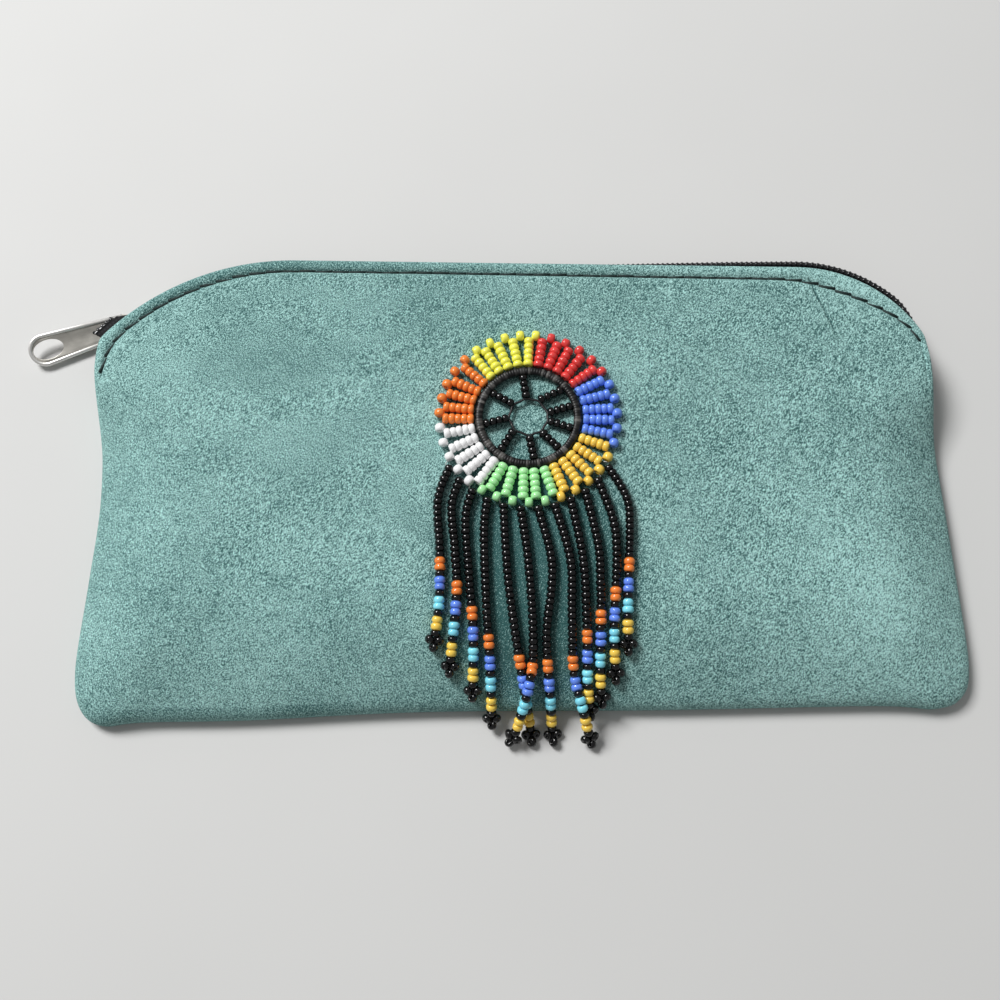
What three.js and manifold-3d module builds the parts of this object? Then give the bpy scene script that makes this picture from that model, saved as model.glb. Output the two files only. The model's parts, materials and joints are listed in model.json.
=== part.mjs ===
// A flat suede zip purse with a beaded rosette and a bead fringe, lying on its back on a table.
// Millimetres. +X is to the right, +Y towards the zip, +Z up, and the table is z = 0.
import * as THREE from "three";
import { mergeVertices } from "three/addons/utils/BufferGeometryUtils.js";
import Module from "manifold-3d";

const wasm = await Module();
wasm.setup();

// Gap kept between neighbouring pieces.
const fit = 0.3;

// Suede.
const halfWidth = 98;
const halfHeight = 52.5;
const suede = 1.2;
const hemThickness = 2.1;
const bellyRise = 0.6;
const bellyCurve = 2.2;
const seamHeight = suede + fit;
const hemRunOn = 4.5;
const seamDrop = 24;
const sideStart = 5;
const sideFull = 14;
const leftShoulder = 57.6;
const leftShoulderIn = 43;
const leftTopRise = 0.6;
const rightShoulder = 31.7;
const rightShoulderIn = 32;
const rightTopDrop = 1.2;

// Zip. The coil lies rolled over by zipRoll round the left shoulder and nearly upright at the right.
const zipRoll = THREE.MathUtils.degToRad(50);
const zipRollRight = THREE.MathUtils.degToRad(10);
const coilHalfWidth = 2.2;
const coilHalfThickness = 0.8;
const coilSplit = 0.5;
const coilOut = -0.8;
const coilOutRight = 2.7;
const coilEndBulge = 3.6;
const coilEndLift = 1.8;
const coilEndStart = 5.5;
const coilEndLength = 9.5;
const coilTuck = 2;
const coilTuckLength = 12;
const turnStart = 6;
const turnEnd = 140;
const tapeThickness = 0.4;
const tapeUnderHem = 5.5;
const tapeBend = 0.6;
const tapeBendBack = 0.3;
const tapeRun = 1.3;
const tapeRunStart = 4.75;
const tapeRunOn = 25;
const backInset = 5.2;
const backInsetRight = 1.2;

// Slider and its pull tab.
const sliderAngle = THREE.MathUtils.degToRad(125);
const sliderLength = 10;
const sliderFlare = 0.4;
const plateThickness = 0.7;
const plateCorner = 1.2;
const flangeThickness = 0.5;
const flangeShort = 3;
const sink = 0.2;
const coilClearance = 0.4;
const postThickness = 0.5;
const postLength = 2;
const postFromEnd = 0.6;
const bridgeLength = 6;
const bridgeWidth = 1.2;
const bridgeBar = 0.7;
const bridgeRoom = 2.2;
const bridgeCorner = 1.3;
const groundGap = 0.25;
const tabLength = 31.3;
const tabEndRadius = 3.9;
const tabNeckHalf = 1.9;
const tabNeckLength = 4.2;
const tabShoulder = 7.6;
const tabTaper = 1.25;
const tabBackOfEye = 0.5;
const eyeFrom = 0.5;
const eyeTo = 3.4;
const eyeWall = 0.65;
const holeWall = 1.6;
const holeShift = 0.7;
const holeStretch = 1.4;
const tabThickness = 0.8;
const rimWidth = 0.9;
const rimHeight = 1.4;
const platePlay = 0.05;
const tabDirection = THREE.MathUtils.degToRad(200.5);
const tabTilt = THREE.MathUtils.degToRad(24);
const tabRootOut = 1.2;
const tabRootBack = 1;
const tabRootAcross = -0.1;

// Beadwork.
const rosetteX = 1.4;
const rosetteY = 11.9;
const beadRadius = 1.1;
const beadLift = 1.25;
const ringRadius = 11.2;
const ringThickness = 1.9;
const rosettePitch = 1.4;
const spokeBeads = 5;
const spokesPerColour = 5;
const firstSpoke = THREE.MathUtils.degToRad(131);
const picotOut = 0.6;
const picotHalf = 0.85;
const innerBeads = 4;
const loopRadius = 4.3;
const loopThickness = 0.6;
const fringePitch = 1.33;
const fringeColourPitch = 1.5;
const strandStart = 21.5;
const strandGap = 0.2;

// Sizes that follow from those above, measured across the zip from the middle of the coil.
const tapeNear = coilHalfThickness + fit;
const plateIn = tapeNear + tapeThickness + fit;
const plateInBack = plateIn + plateThickness;
const plateOut = coilHalfThickness + fit;
const plateOutFace = plateOut + plateThickness;
const flangeIn = coilHalfWidth + coilClearance;
const sliderHalf = flangeIn + flangeThickness;
const bridgeTop = plateOutFace + bridgeRoom + bridgeBar;
const sliderReach = sliderHalf + sliderFlare;
const bridgeLow = bridgeTop * Math.sin(zipRoll) + (bridgeWidth / 2) * Math.cos(zipRoll);
const plateLow = plateOutFace * Math.sin(zipRoll) + sliderReach * Math.cos(zipRoll);
const coilHeight = groundGap + Math.max(bridgeLow, plateLow);
const sliderTop = coilHeight + sliderReach * Math.cos(zipRoll) + plateInBack * Math.sin(zipRoll);
const hemUnderside = sliderTop + 2 * fit + tapeThickness;
const hemTop = hemUnderside + hemThickness;
const bellyTop = hemTop + bellyRise;
const coilHeightRight = (hemThickness + hemUnderside) / 2;

const colours = {
  suede: 0x7aa2a0,
  black: 0x17171a,
  metal: 0xb9b5ad,
  yellow: 0xf2dc3c,
  red: 0xd23a34,
  blue: 0x4f6fe0,
  gold: 0xeaa832,
  green: 0x86d48a,
  white: 0xf4f4f2,
  orange: 0xe8742c,
  turquoise: 0x62cbe6,
};

const purse = new THREE.Group();
const up = new THREE.Vector3(0, 0, 1);

// A piece has one colour, or the colours of its own points where its geometry holds them.
function addPiece(name, geometry, colour) {
  const metal = colour === colours.metal;
  const painted = geometry.hasAttribute("color");
  const material = new THREE.MeshStandardMaterial({
    color: painted ? 0xffffff : colour,
    vertexColors: painted,
    roughness: colour === colours.suede ? 0.95 : 0.35,
    metalness: metal ? 1 : 0,
  });
  const mesh = new THREE.Mesh(geometry, material);
  mesh.name = name;
  purse.add(mesh);
  return mesh;
}

// A flat shape given a thickness.
function slab(shape, depth, curveSegments) {
  return new THREE.ExtrudeGeometry(shape, { depth, bevelEnabled: false, curveSegments });
}

// The points of a ring seen along the axis that it faces most, for closing an end.
function flatten(ring) {
  const normal = new THREE.Vector3();
  ring.forEach((p, i) => {
    const q = ring[(i + 1) % ring.length];
    normal.add(new THREE.Vector3().crossVectors(p, q));
  });
  const [ax, ay, az] = [Math.abs(normal.x), Math.abs(normal.y), Math.abs(normal.z)];
  if (az >= ax && az >= ay) {
    return ring.map((p) => new THREE.Vector2(p.x, p.y));
  }
  if (ax >= ay) {
    return ring.map((p) => new THREE.Vector2(p.y, p.z));
  }
  return ring.map((p) => new THREE.Vector2(p.z, p.x));
}

// Triangles that close a ring, turned the same way round as the ring.
function capOf(ring) {
  const flat = flatten(ring);
  const turn = Math.sign(THREE.ShapeUtils.area(flat));
  return THREE.ShapeUtils.triangulateShape(flat, []).map(([a, b, c]) => {
    const same = Math.sign(THREE.ShapeUtils.area([flat[a], flat[b], flat[c]])) === turn;
    return same ? [a, b, c] : [a, c, b];
  });
}

// One closed solid through rings that all have the same number of points.
// Its ends are closed by a fan round their middles where fanned, and else across.
function loft(rings, fanned = false) {
  const count = rings[0].length;
  const points = rings.flat();
  const faces = [];
  for (let r = 0; r + 1 < rings.length; r += 1) {
    for (let i = 0; i < count; i += 1) {
      const j = (i + 1) % count;
      const [a, b, c, d] = [r * count + i, r * count + j, (r + 1) * count + j, (r + 1) * count + i];
      faces.push([a, b, c], [a, c, d]);
    }
  }
  const last = (rings.length - 1) * count;
  const closeEnd = (ring) => {
    if (!fanned) {
      return capOf(ring).map((face) => face.map((i) => (ring === rings[0] ? i : last + i)));
    }
    const middle = points.length;
    const first = ring === rings[0] ? 0 : last;
    const sum = ring.reduce((total, p) => total.add(p), new THREE.Vector3());
    points.push(sum.divideScalar(count));
    return ring.map((_, i) => [first + i, first + ((i + 1) % count), middle]);
  };
  closeEnd(rings[0]).forEach(([a, b, c]) => faces.push([a, c, b]));
  closeEnd(rings.at(-1)).forEach((face) => faces.push(face));
  const volume = faces.reduce((sum, [a, b, c]) => sum + points[a].dot(points[b].clone().cross(points[c])), 0);
  const outward = volume > 0 ? faces : faces.map(([a, b, c]) => [a, c, b]);
  const positions = points.flatMap((p) => [p.x, p.y, p.z]);
  const geometry = new THREE.BufferGeometry();
  geometry.setAttribute("position", new THREE.Float32BufferAttribute(positions, 3));
  geometry.setIndex(outward.flat());
  geometry.computeVertexNormals();
  return geometry;
}

function toSolid(geometry) {
  const bare = geometry.clone();
  bare.deleteAttribute("normal");
  bare.deleteAttribute("uv");
  const merged = mergeVertices(bare, 1e-4);
  return new wasm.Manifold(
    new wasm.Mesh({
      numProp: 3,
      vertProperties: new Float32Array(merged.attributes.position.array),
      triVerts: new Uint32Array(merged.index.array),
    }),
  );
}

// Several overlapping solids as one.
function union(geometries) {
  const whole = geometries.map(toSolid).reduce((sum, part) => sum.add(part));
  const mesh = whole.getMesh();
  const geometry = new THREE.BufferGeometry();
  geometry.setAttribute("position", new THREE.Float32BufferAttribute(mesh.vertProperties, 3));
  geometry.setIndex(Array.from(mesh.triVerts));
  geometry.computeVertexNormals();
  return geometry;
}

const mix = THREE.MathUtils.lerp;
const ease = THREE.MathUtils.smoothstep;

// The zip edge of the front panel: left shoulder, straight top, right shoulder.
const leftCentre = new THREE.Vector2(leftShoulderIn - halfWidth, halfHeight + leftTopRise - leftShoulder);
const rightCentre = new THREE.Vector2(halfWidth - rightShoulderIn, halfHeight - rightTopDrop - rightShoulder);
const centres = rightCentre.clone().sub(leftCentre);
const topAngle = centres.angle() + Math.acos((leftShoulder - rightShoulder) / centres.length());
const leftEnd = THREE.MathUtils.degToRad(140);
const rightEnd = THREE.MathUtils.degToRad(25.5);
const zipEdge = new THREE.Path();
zipEdge.absarc(leftCentre.x, leftCentre.y, leftShoulder, leftEnd, topAngle, true);
zipEdge.absarc(rightCentre.x, rightCentre.y, rightShoulder, topAngle, rightEnd, true);
const zipLength = zipEdge.getLength();
const leftArc = leftShoulder * (leftEnd - topAngle);

// How far the zip has turned from its lie at the left shoulder, 0, to its lie at the right, 1.
function turnedAt(along) {
  return ease(along, leftArc + turnStart, leftArc + turnEnd);
}

// The sewn edge from the right end of the zip round the bottom to its left end.
const sewnPoints = [
  [0.98, 0.4],
  [0.992, 0.095],
  [1.004, -0.4],
  [1.01, -0.82],
  [0.985, -0.952],
  [0.929, -0.996],
  [0.796, -0.983],
  [0.306, -1],
  [-0.224, -1.008],
  [-0.612, -1.042],
  [-0.857, -1.051],
  [-0.944, -1.067],
  [-0.992, -1],
  [-1.012, -0.838],
  [-1.003, -0.457],
  [-0.996, -0.114],
  [-1.01, 0.267],
  [-1.016, 0.495],
].map(([x, y]) => new THREE.Vector2(x * halfWidth, y * halfHeight));
const [leftTip, rightTip] = [zipEdge.getPoint(0), zipEdge.getPoint(1)];
const sewnEdge = new THREE.SplineCurve([rightTip, ...sewnPoints, leftTip]);

// The whole outline, from the right end of the zip round the bottom and back along the zip.
const zipSteps = 24;
const sewnSteps = 2 * (sewnPoints.length + 1);
const outline = [];
for (let i = 1; i < sewnSteps; i += 1) {
  const at = sewnEdge.getPoint(i / sewnSteps);
  const fromEnd = Math.min(at.distanceTo(leftTip), at.distanceTo(rightTip));
  const zip = 1 - ease(fromEnd, hemRunOn, hemRunOn + seamDrop);
  outline.push({ at, zip, side: ease(fromEnd, sideStart, sideFull), turned: at.x > 0 ? 1 : 0 });
}
for (let i = 0; i <= zipSteps; i += 1) {
  const share = i / zipSteps;
  outline.push({ at: zipEdge.getPoint(share), zip: 1, side: 0, turned: turnedAt(share * zipLength) });
}

// The point of the middle line of the purse that a point of the outline moves in towards.
const middleShare = 0.55;
function middleOf(edge) {
  return new THREE.Vector2(edge.at.x * middleShare, 0);
}

// A point of the outline moved a share of the way to the middle line.
function inwards(edge, share, z) {
  const p = edge.at.clone().lerp(middleOf(edge), share);
  return new THREE.Vector3(p.x, p.y, z);
}

const plateau = 0.55;
const hemShare = 0.115;
const hemStep = 0.01;

function frontTop(edge, share) {
  const edgeTop = mix(seamHeight + suede, hemTop, edge.zip);
  const rise = 1 - (1 - Math.min(share / plateau, 1)) ** bellyCurve;
  return mix(edgeTop, bellyTop, rise);
}

// The sides of the front panel reach down to the back panel, up to where the zip starts.
function frontUnder(edge, share) {
  const thickness = share <= hemShare ? mix(suede, hemThickness, edge.zip) : suede;
  const under = frontTop(edge, share) - thickness;
  return share === 0 ? mix(under, seamHeight, edge.side) : under;
}

const underShares = [plateau, hemShare + hemStep, hemShare, 0];
const topShares = [0, 0.045, 0.15, 0.3, plateau];
const frontRings = [
  ...underShares.map((share) => outline.map((edge) => inwards(edge, share, frontUnder(edge, share)))),
  ...topShares.map((share) => outline.map((edge) => inwards(edge, share, frontTop(edge, share)))),
];
const front = addPiece("front_panel", loft(frontRings, true), colours.suede);

// The back panel lies flat, and its zip hem stops short of the front one.
function backRing(share, height) {
  return outline.map((edge) => {
    const inset = (1 - edge.side) * mix(backInset, backInsetRight, edge.turned);
    const reach = edge.at.distanceTo(middleOf(edge));
    return inwards(edge, inset / reach + share, height(edge));
  });
}
const backTop = (edge) => mix(hemThickness, suede, edge.side);
const backRings = [
  backRing(0, () => 0),
  backRing(0, backTop),
  backRing(hemShare, backTop),
  backRing(hemShare + hemStep, () => suede),
];
addPiece("back_panel", loft(backRings, true), colours.suede);

// Where the coil is, how it is rolled and the directions across it, at a place along the zip.
function zipFrame(along) {
  const turned = turnedAt(along);
  const roll = mix(zipRoll, zipRollRight, turned);
  const at = zipEdge.getPoint(along / zipLength);
  const tangent = zipEdge.getTangent(along / zipLength);
  const outward = new THREE.Vector3(-tangent.y, tangent.x, 0);
  const lie = (out, z) => new THREE.Vector3(at.x, at.y, z).addScaledVector(outward, out);
  const curl = 1 - ease(along, coilEndStart, coilEndLength);
  const tuck = coilTuck * ease(along, zipLength - coilTuckLength, zipLength);
  const out = mix(coilOut, coilOutRight, turned) + coilEndBulge * curl - tuck;
  const height = mix(coilHeight, coilHeightRight, turned) + coilEndLift * curl;
  // Across is along the tape towards the front hem, and face is out of the coil's outer face.
  const section = (across, face) => ({
    out: out + across * Math.sin(roll) + face * Math.cos(roll),
    z: height + across * Math.cos(roll) - face * Math.sin(roll),
  });
  const inset = mix(backInset, backInsetRight, turned);
  const before = 1 - ease(along, tapeRunStart, coilEndLength);
  const after = ease(along, leftArc + turnStart, leftArc + turnStart + tapeRunOn);
  const slack = mix(sliderReach + 2 * fit, tapeRun, Math.max(before, after));
  return { lie, section, inset, slack, outward };
}

// Places along the zip, closer together round the shoulders than on the straight.
const zipPlaces = [];
const leftSteps = 14;
const straightSteps = 9;
const rightSteps = 6;
for (let i = 0; i < leftSteps; i += 1) {
  zipPlaces.push(mix(2 * fit, leftArc, i / leftSteps));
}
const straightEnd = zipLength - rightShoulder * (topAngle - rightEnd);
for (let i = 0; i < straightSteps; i += 1) {
  zipPlaces.push(mix(leftArc, straightEnd, i / straightSteps));
}
for (let i = 0; i <= rightSteps; i += 1) {
  zipPlaces.push(mix(straightEnd, zipLength - 2 * fit, i / rightSteps));
}

// Sweeps a section along the zip: profile gives its corners as distances out and up.
function alongZip(profile) {
  return loft(
    zipPlaces.map((along) => {
      const frame = zipFrame(along);
      return profile(frame).map(({ out, z }) => frame.lie(out, z));
    }),
  );
}

function coilProfile(side) {
  return ({ section }) => [
    section(side * coilSplit, -coilHalfThickness),
    section(side * coilHalfWidth, -coilHalfThickness),
    section(side * coilHalfWidth, coilHalfThickness),
    section(side * coilSplit, coilHalfThickness),
  ];
}
addPiece("zip_coil_front", alongZip(coilProfile(1)), colours.black);
addPiece("zip_coil_back", alongZip(coilProfile(-1)), colours.black);

// A bent strip of tape: the line through its middle, thickened to both sides.
function thicken(line) {
  const points = line.map(({ out, z }) => new THREE.Vector2(out, z));
  const sides = points.map((p, i) => {
    const before = p.clone().sub(points[Math.max(i - 1, 0)]).normalize();
    const after = points[Math.min(i + 1, points.length - 1)].clone().sub(p).normalize();
    const along = before.clone().add(after).normalize();
    const widen = 1 / Math.max(along.dot(after.lengthSq() ? after : before), 0.5);
    return new THREE.Vector2(-along.y, along.x).multiplyScalar((widen * tapeThickness) / 2);
  });
  const near = points.map((p, i) => p.clone().add(sides[i]));
  const far = points.map((p, i) => p.clone().sub(sides[i])).reverse();
  return [...near, ...far].map((p) => ({ out: p.x, z: p.y }));
}

const tapeMiddle = -(tapeNear + tapeThickness / 2);

function frontTape({ section, slack }) {
  const turn = section(slack, tapeMiddle);
  const z = hemUnderside - fit - tapeThickness / 2;
  return thicken([
    section(coilSplit, tapeMiddle),
    turn,
    { out: turn.out - tapeBend, z },
    { out: -tapeUnderHem, z },
  ]);
}
addPiece("zip_tape_front", alongZip(frontTape), colours.black);

function backTape({ section, slack, inset }) {
  const z = hemThickness + fit + tapeThickness / 2;
  return thicken([
    section(-coilSplit, tapeMiddle),
    section(-slack, tapeMiddle),
    { out: tapeBendBack - inset, z },
    { out: -inset - tapeUnderHem, z },
  ]);
}
addPiece("zip_tape_back", alongZip(backTape), colours.black);

// Slider, in its own directions: x along the zip, y out of the coil's face, z across the tape.
// Its plates flare at the end that leads as it closes.
function sliderPlate(from, to) {
  const shape = new THREE.Shape();
  const [x, wide, narrow, r] = [sliderLength / 2, sliderReach, sliderHalf, plateCorner];
  shape.moveTo(r - x, -wide);
  shape.lineTo(r, -narrow);
  shape.lineTo(x - r, -narrow);
  shape.absarc(x - r, r - narrow, r, -Math.PI / 2, 0);
  shape.absarc(x - r, narrow - r, r, 0, Math.PI / 2);
  shape.lineTo(r, narrow);
  shape.lineTo(r - x, wide);
  shape.absarc(r - x, wide - r, r, Math.PI / 2, Math.PI);
  shape.absarc(r - x, r - wide, r, Math.PI, 1.5 * Math.PI);
  const plate = slab(shape, to - from, 3);
  plate.rotateX(Math.PI / 2);
  plate.translate(0, to, 0);
  return plate;
}

function sliderFlange(side) {
  const height = plateOut + sink + coilHalfThickness;
  const flange = new THREE.BoxGeometry(sliderLength - flangeShort, height, flangeThickness);
  flange.translate(0, plateOut + sink - height / 2, side * (flangeIn + flangeThickness / 2));
  return flange;
}

function sliderBridge() {
  const [x, foot, shoulder] = [bridgeLength / 2, plateOutFace - sink, bridgeTop - bridgeCorner];
  const [innerX, innerTop] = [x - bridgeBar, bridgeTop - bridgeBar];
  const shape = new THREE.Shape();
  shape.moveTo(-x, foot);
  shape.lineTo(-innerX, foot);
  shape.lineTo(-innerX, shoulder);
  shape.quadraticCurveTo(-innerX, innerTop, bridgeCorner - innerX, innerTop);
  shape.lineTo(innerX - bridgeCorner, innerTop);
  shape.quadraticCurveTo(innerX, innerTop, innerX, shoulder);
  shape.lineTo(innerX, foot);
  shape.lineTo(x, foot);
  shape.lineTo(x, shoulder);
  shape.quadraticCurveTo(x, bridgeTop, x - bridgeCorner, bridgeTop);
  shape.lineTo(bridgeCorner - x, bridgeTop);
  shape.quadraticCurveTo(-x, bridgeTop, -x, shoulder);
  const bridge = slab(shape, bridgeWidth, 3);
  bridge.translate(0, 0, -bridgeWidth / 2);
  return bridge;
}

const post = new THREE.BoxGeometry(postLength, plateOut + plateIn + 2 * sink, postThickness);
post.translate((postLength - sliderLength) / 2 + postFromEnd, (plateOut - plateIn) / 2, 0);
const sliderShape = union([
  sliderPlate(plateOut, plateOutFace),
  sliderPlate(-plateInBack, -plateIn),
  sliderFlange(1),
  sliderFlange(-1),
  post,
  sliderBridge(),
]);
const sliderAt = zipFrame(leftShoulder * (leftEnd - sliderAngle));
const sliderAlong = new THREE.Vector3(sliderAt.outward.y, -sliderAt.outward.x, 0);
const sliderAcross = sliderAt.outward.clone().multiplyScalar(Math.sin(zipRoll));
sliderAcross.addScaledVector(up, Math.cos(zipRoll));
const sliderFace = sliderAt.outward.clone().multiplyScalar(Math.cos(zipRoll));
sliderFace.addScaledVector(up, -Math.sin(zipRoll));
const sliderPlace = new THREE.Matrix4().makeBasis(sliderAlong, sliderFace, sliderAcross);
sliderPlace.setPosition(sliderAt.lie(coilOut, coilHeight));
addPiece("slider_body", sliderShape.applyMatrix4(sliderPlace), colours.metal);

// Pull tab, in its own directions: x from its eye to its round end, z through its thickness.
function tabPlate() {
  const blade = tabLength - tabEndRadius;
  const shape = new THREE.Shape();
  const edge = tabEndRadius - platePlay;
  const bendX = (tabNeckLength + tabShoulder) / 2;
  shape.moveTo(-tabBackOfEye, -tabNeckHalf);
  shape.lineTo(tabNeckLength, -tabNeckHalf);
  shape.quadraticCurveTo(bendX, -tabNeckHalf, tabShoulder, tabTaper - edge);
  shape.lineTo(blade, -edge);
  shape.absarc(blade, 0, edge, -Math.PI / 2, Math.PI / 2);
  shape.lineTo(tabShoulder, edge - tabTaper);
  shape.quadraticCurveTo(bendX, tabNeckHalf, tabNeckLength, tabNeckHalf);
  shape.lineTo(-tabBackOfEye, tabNeckHalf);
  const eye = new THREE.Path();
  const eyeHalf = tabNeckHalf - eyeWall;
  eye.moveTo(eyeFrom, -eyeHalf);
  eye.lineTo(eyeFrom, eyeHalf);
  eye.lineTo(eyeTo, eyeHalf);
  eye.lineTo(eyeTo, -eyeHalf);
  const hole = new THREE.Path();
  const holeHalf = tabEndRadius - holeWall;
  hole.absellipse(blade - holeShift, 0, holeHalf + holeStretch, holeHalf, 0, 2 * Math.PI);
  shape.holes.push(eye, hole);
  const plate = slab(shape, tabThickness, 8);
  plate.translate(0, 0, -tabThickness / 2);
  return plate;
}

function tabRim() {
  const blade = tabLength - tabEndRadius;
  const inner = tabEndRadius - rimWidth;
  const shape = new THREE.Shape();
  shape.moveTo(tabShoulder, tabTaper - tabEndRadius);
  shape.lineTo(blade, -tabEndRadius);
  shape.absarc(blade, 0, tabEndRadius, -Math.PI / 2, Math.PI / 2);
  shape.lineTo(tabShoulder, tabEndRadius - tabTaper);
  shape.lineTo(tabShoulder, inner - tabTaper);
  shape.lineTo(blade, inner);
  shape.absarc(blade, 0, inner, Math.PI / 2, -Math.PI / 2, true);
  shape.lineTo(tabShoulder, tabTaper - inner);
  const rim = slab(shape, rimHeight, 8);
  rim.translate(0, 0, -rimHeight / 2);
  return rim;
}

const tabRoot = new THREE.Vector3(-tabRootBack, plateOutFace + tabRootOut, tabRootAcross);
tabRoot.applyMatrix4(sliderPlace);
const tabTipHeight = groundGap + rimHeight / 2 + tabEndRadius * Math.sin(tabTilt);
const tabDrop = (tabTipHeight - tabRoot.z) / tabLength;
const tabLine = new THREE.Vector3(Math.cos(tabDirection), Math.sin(tabDirection), tabDrop).normalize();
const tabAcross = new THREE.Vector3().crossVectors(up, tabLine).normalize();
tabAcross.applyAxisAngle(tabLine, -tabTilt);
const tabPlace = new THREE.Matrix4().makeBasis(tabLine, tabAcross, tabLine.clone().cross(tabAcross));
tabPlace.setPosition(tabRoot);
addPiece("pull_tab", union([tabPlate(), tabRim()]).applyMatrix4(tabPlace), colours.metal);

// A run of beads on a thread: each stop has a place, a half width, a half height and maybe a colour.
const runSides = [90, 210, 330];
function beadRun(stops) {
  const run = loft(
    stops.map(({ at, across, high }, i) => {
      const before = stops[Math.max(i - 1, 0)].at;
      const after = stops[Math.min(i + 1, stops.length - 1)].at;
      const along = after.clone().sub(before).normalize();
      const side = new THREE.Vector3().crossVectors(up, along).normalize();
      const above = new THREE.Vector3().crossVectors(along, side);
      return runSides.map((degrees) => {
        const turn = THREE.MathUtils.degToRad(degrees);
        const p = at.clone().addScaledVector(side, (across * Math.cos(turn)) / Math.cos(Math.PI / 6));
        return p.addScaledVector(above, high * Math.sin(turn) * 1.1);
      });
    }),
  );
  if (stops[0].colour !== undefined) {
    const paint = stops.flatMap(({ colour }) => runSides.flatMap(() => new THREE.Color(colour).toArray()));
    run.setAttribute("color", new THREE.Float32BufferAttribute(paint, 3));
  }
  return run;
}

const waist = 0.45 * beadRadius;

// Stops for beads with their lengths and colours, on a line that is asked for its place at a length.
function beadStops(beads, across, placeAt) {
  const stops = [{ at: placeAt(0), across: waist, high: waist, colour: beads[0].colour }];
  let along = 0;
  beads.forEach(({ length, colour }) => {
    stops.push({ at: placeAt(along + length / 2), across, high: beadRadius, colour });
    stops.push({ at: placeAt(along + length), across: waist, high: waist, colour });
    along += length;
  });
  return stops;
}

// A point of the rosette at a distance and angle from its middle.
const beadPlane = bellyTop + beadLift;
function rosettePoint(radius, angle) {
  const [x, y] = [rosetteX + radius * Math.cos(angle), rosetteY + radius * Math.sin(angle)];
  return new THREE.Vector3(x, y, beadPlane);
}

const ring = new THREE.TorusGeometry(ringRadius, ringThickness / 2, 4, 30);
ring.translate(rosetteX, rosetteY, beadPlane);
addPiece("wrapped_ring", ring, colours.black);

const loop = new THREE.TorusGeometry(loopRadius, loopThickness / 2, 3, 18);
loop.translate(rosetteX, rosetteY, beadPlane);
addPiece("inner_loop", loop, colours.black);

// Angles in degrees of the nine short spokes, where each leaves the loop and where it meets the ring.
const innerFrom = [95, 60, 12, -12, -51, -88, -136, -177, 139];
const innerTo = [97, 40, 15, -16, -48, -83, -128, -170, 145];
const innerStart = loopRadius + loopThickness / 2 + fit;
const innerEnd = ringRadius - ringThickness / 2 - fit;
const innerFirst = innerStart + (innerEnd - innerStart) / innerBeads / 2;
const closestPair = THREE.MathUtils.degToRad(innerFrom[2] - innerFrom[3]);
const innerAcross = innerFirst * Math.sin(closestPair / 2) - fit / 2;
innerFrom.forEach((from, i) => {
  const start = rosettePoint(innerStart, THREE.MathUtils.degToRad(from));
  const end = rosettePoint(innerEnd, THREE.MathUtils.degToRad(innerTo[i]));
  const line = new THREE.LineCurve3(start, end);
  const length = line.getLength();
  const beads = Array.from({ length: innerBeads }, () => ({ length: length / innerBeads }));
  const stops = beadStops(beads, innerAcross, (s) => line.getPoint(s / length));
  addPiece(`inner_spoke_${i + 1}`, beadRun(stops), colours.black);
});

// Seven colours of five spokes each, with a bead between the outer ends of neighbouring spokes.
const spokeColours = ["yellow", "red", "blue", "gold", "green", "white", "orange"];
const spokeStep = (2 * Math.PI) / (spokeColours.length * spokesPerColour);
const spokeStart = ringRadius + ringThickness / 2 + fit;
const spokeEnd = spokeStart + spokeBeads * rosettePitch;
const spokeAcross = ((spokeStart + rosettePitch / 2) * spokeStep - fit) / 2;
const spokeAngle = (index) => firstSpoke - index * spokeStep;

// One spoke and the bead beyond it, which reaches into the next spoke unless that has another colour.
function spoke(index, joined) {
  const angle = spokeAngle(index);
  const beads = Array.from({ length: spokeBeads }, () => ({ length: rosettePitch }));
  const stops = beadStops(beads, spokeAcross, (s) => rosettePoint(spokeStart + s, angle));
  const [middle, end, endRadius] = joined ? [0.5, 1, spokeEnd - fit] : [0.38, 0.72, spokeEnd + picotOut];
  const picot = rosettePoint(spokeEnd + picotOut, angle - middle * spokeStep);
  stops.push({ at: picot, across: picotHalf, high: beadRadius });
  stops.push({ at: rosettePoint(endRadius, angle - end * spokeStep), across: waist, high: waist });
  return beadRun(stops);
}

spokeColours.forEach((name, sector) => {
  const spokes = [];
  for (let i = 1; i <= spokesPerColour; i += 1) {
    spokes.push(spoke(sector * spokesPerColour + i - 1, i < spokesPerColour));
  }
  addPiece(`rosette_${name}`, union(spokes), colours[name]);
});

// The fringe lies on the purse and over its lower edge.
front.updateMatrixWorld(true);
const ray = new THREE.Raycaster();
function supportAt(x, y) {
  ray.set(new THREE.Vector3(x, y, halfHeight), new THREE.Vector3(0, 0, -1));
  const hits = ray.intersectObject(front);
  return hits.length ? hits[0].point.z : 0;
}

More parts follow.
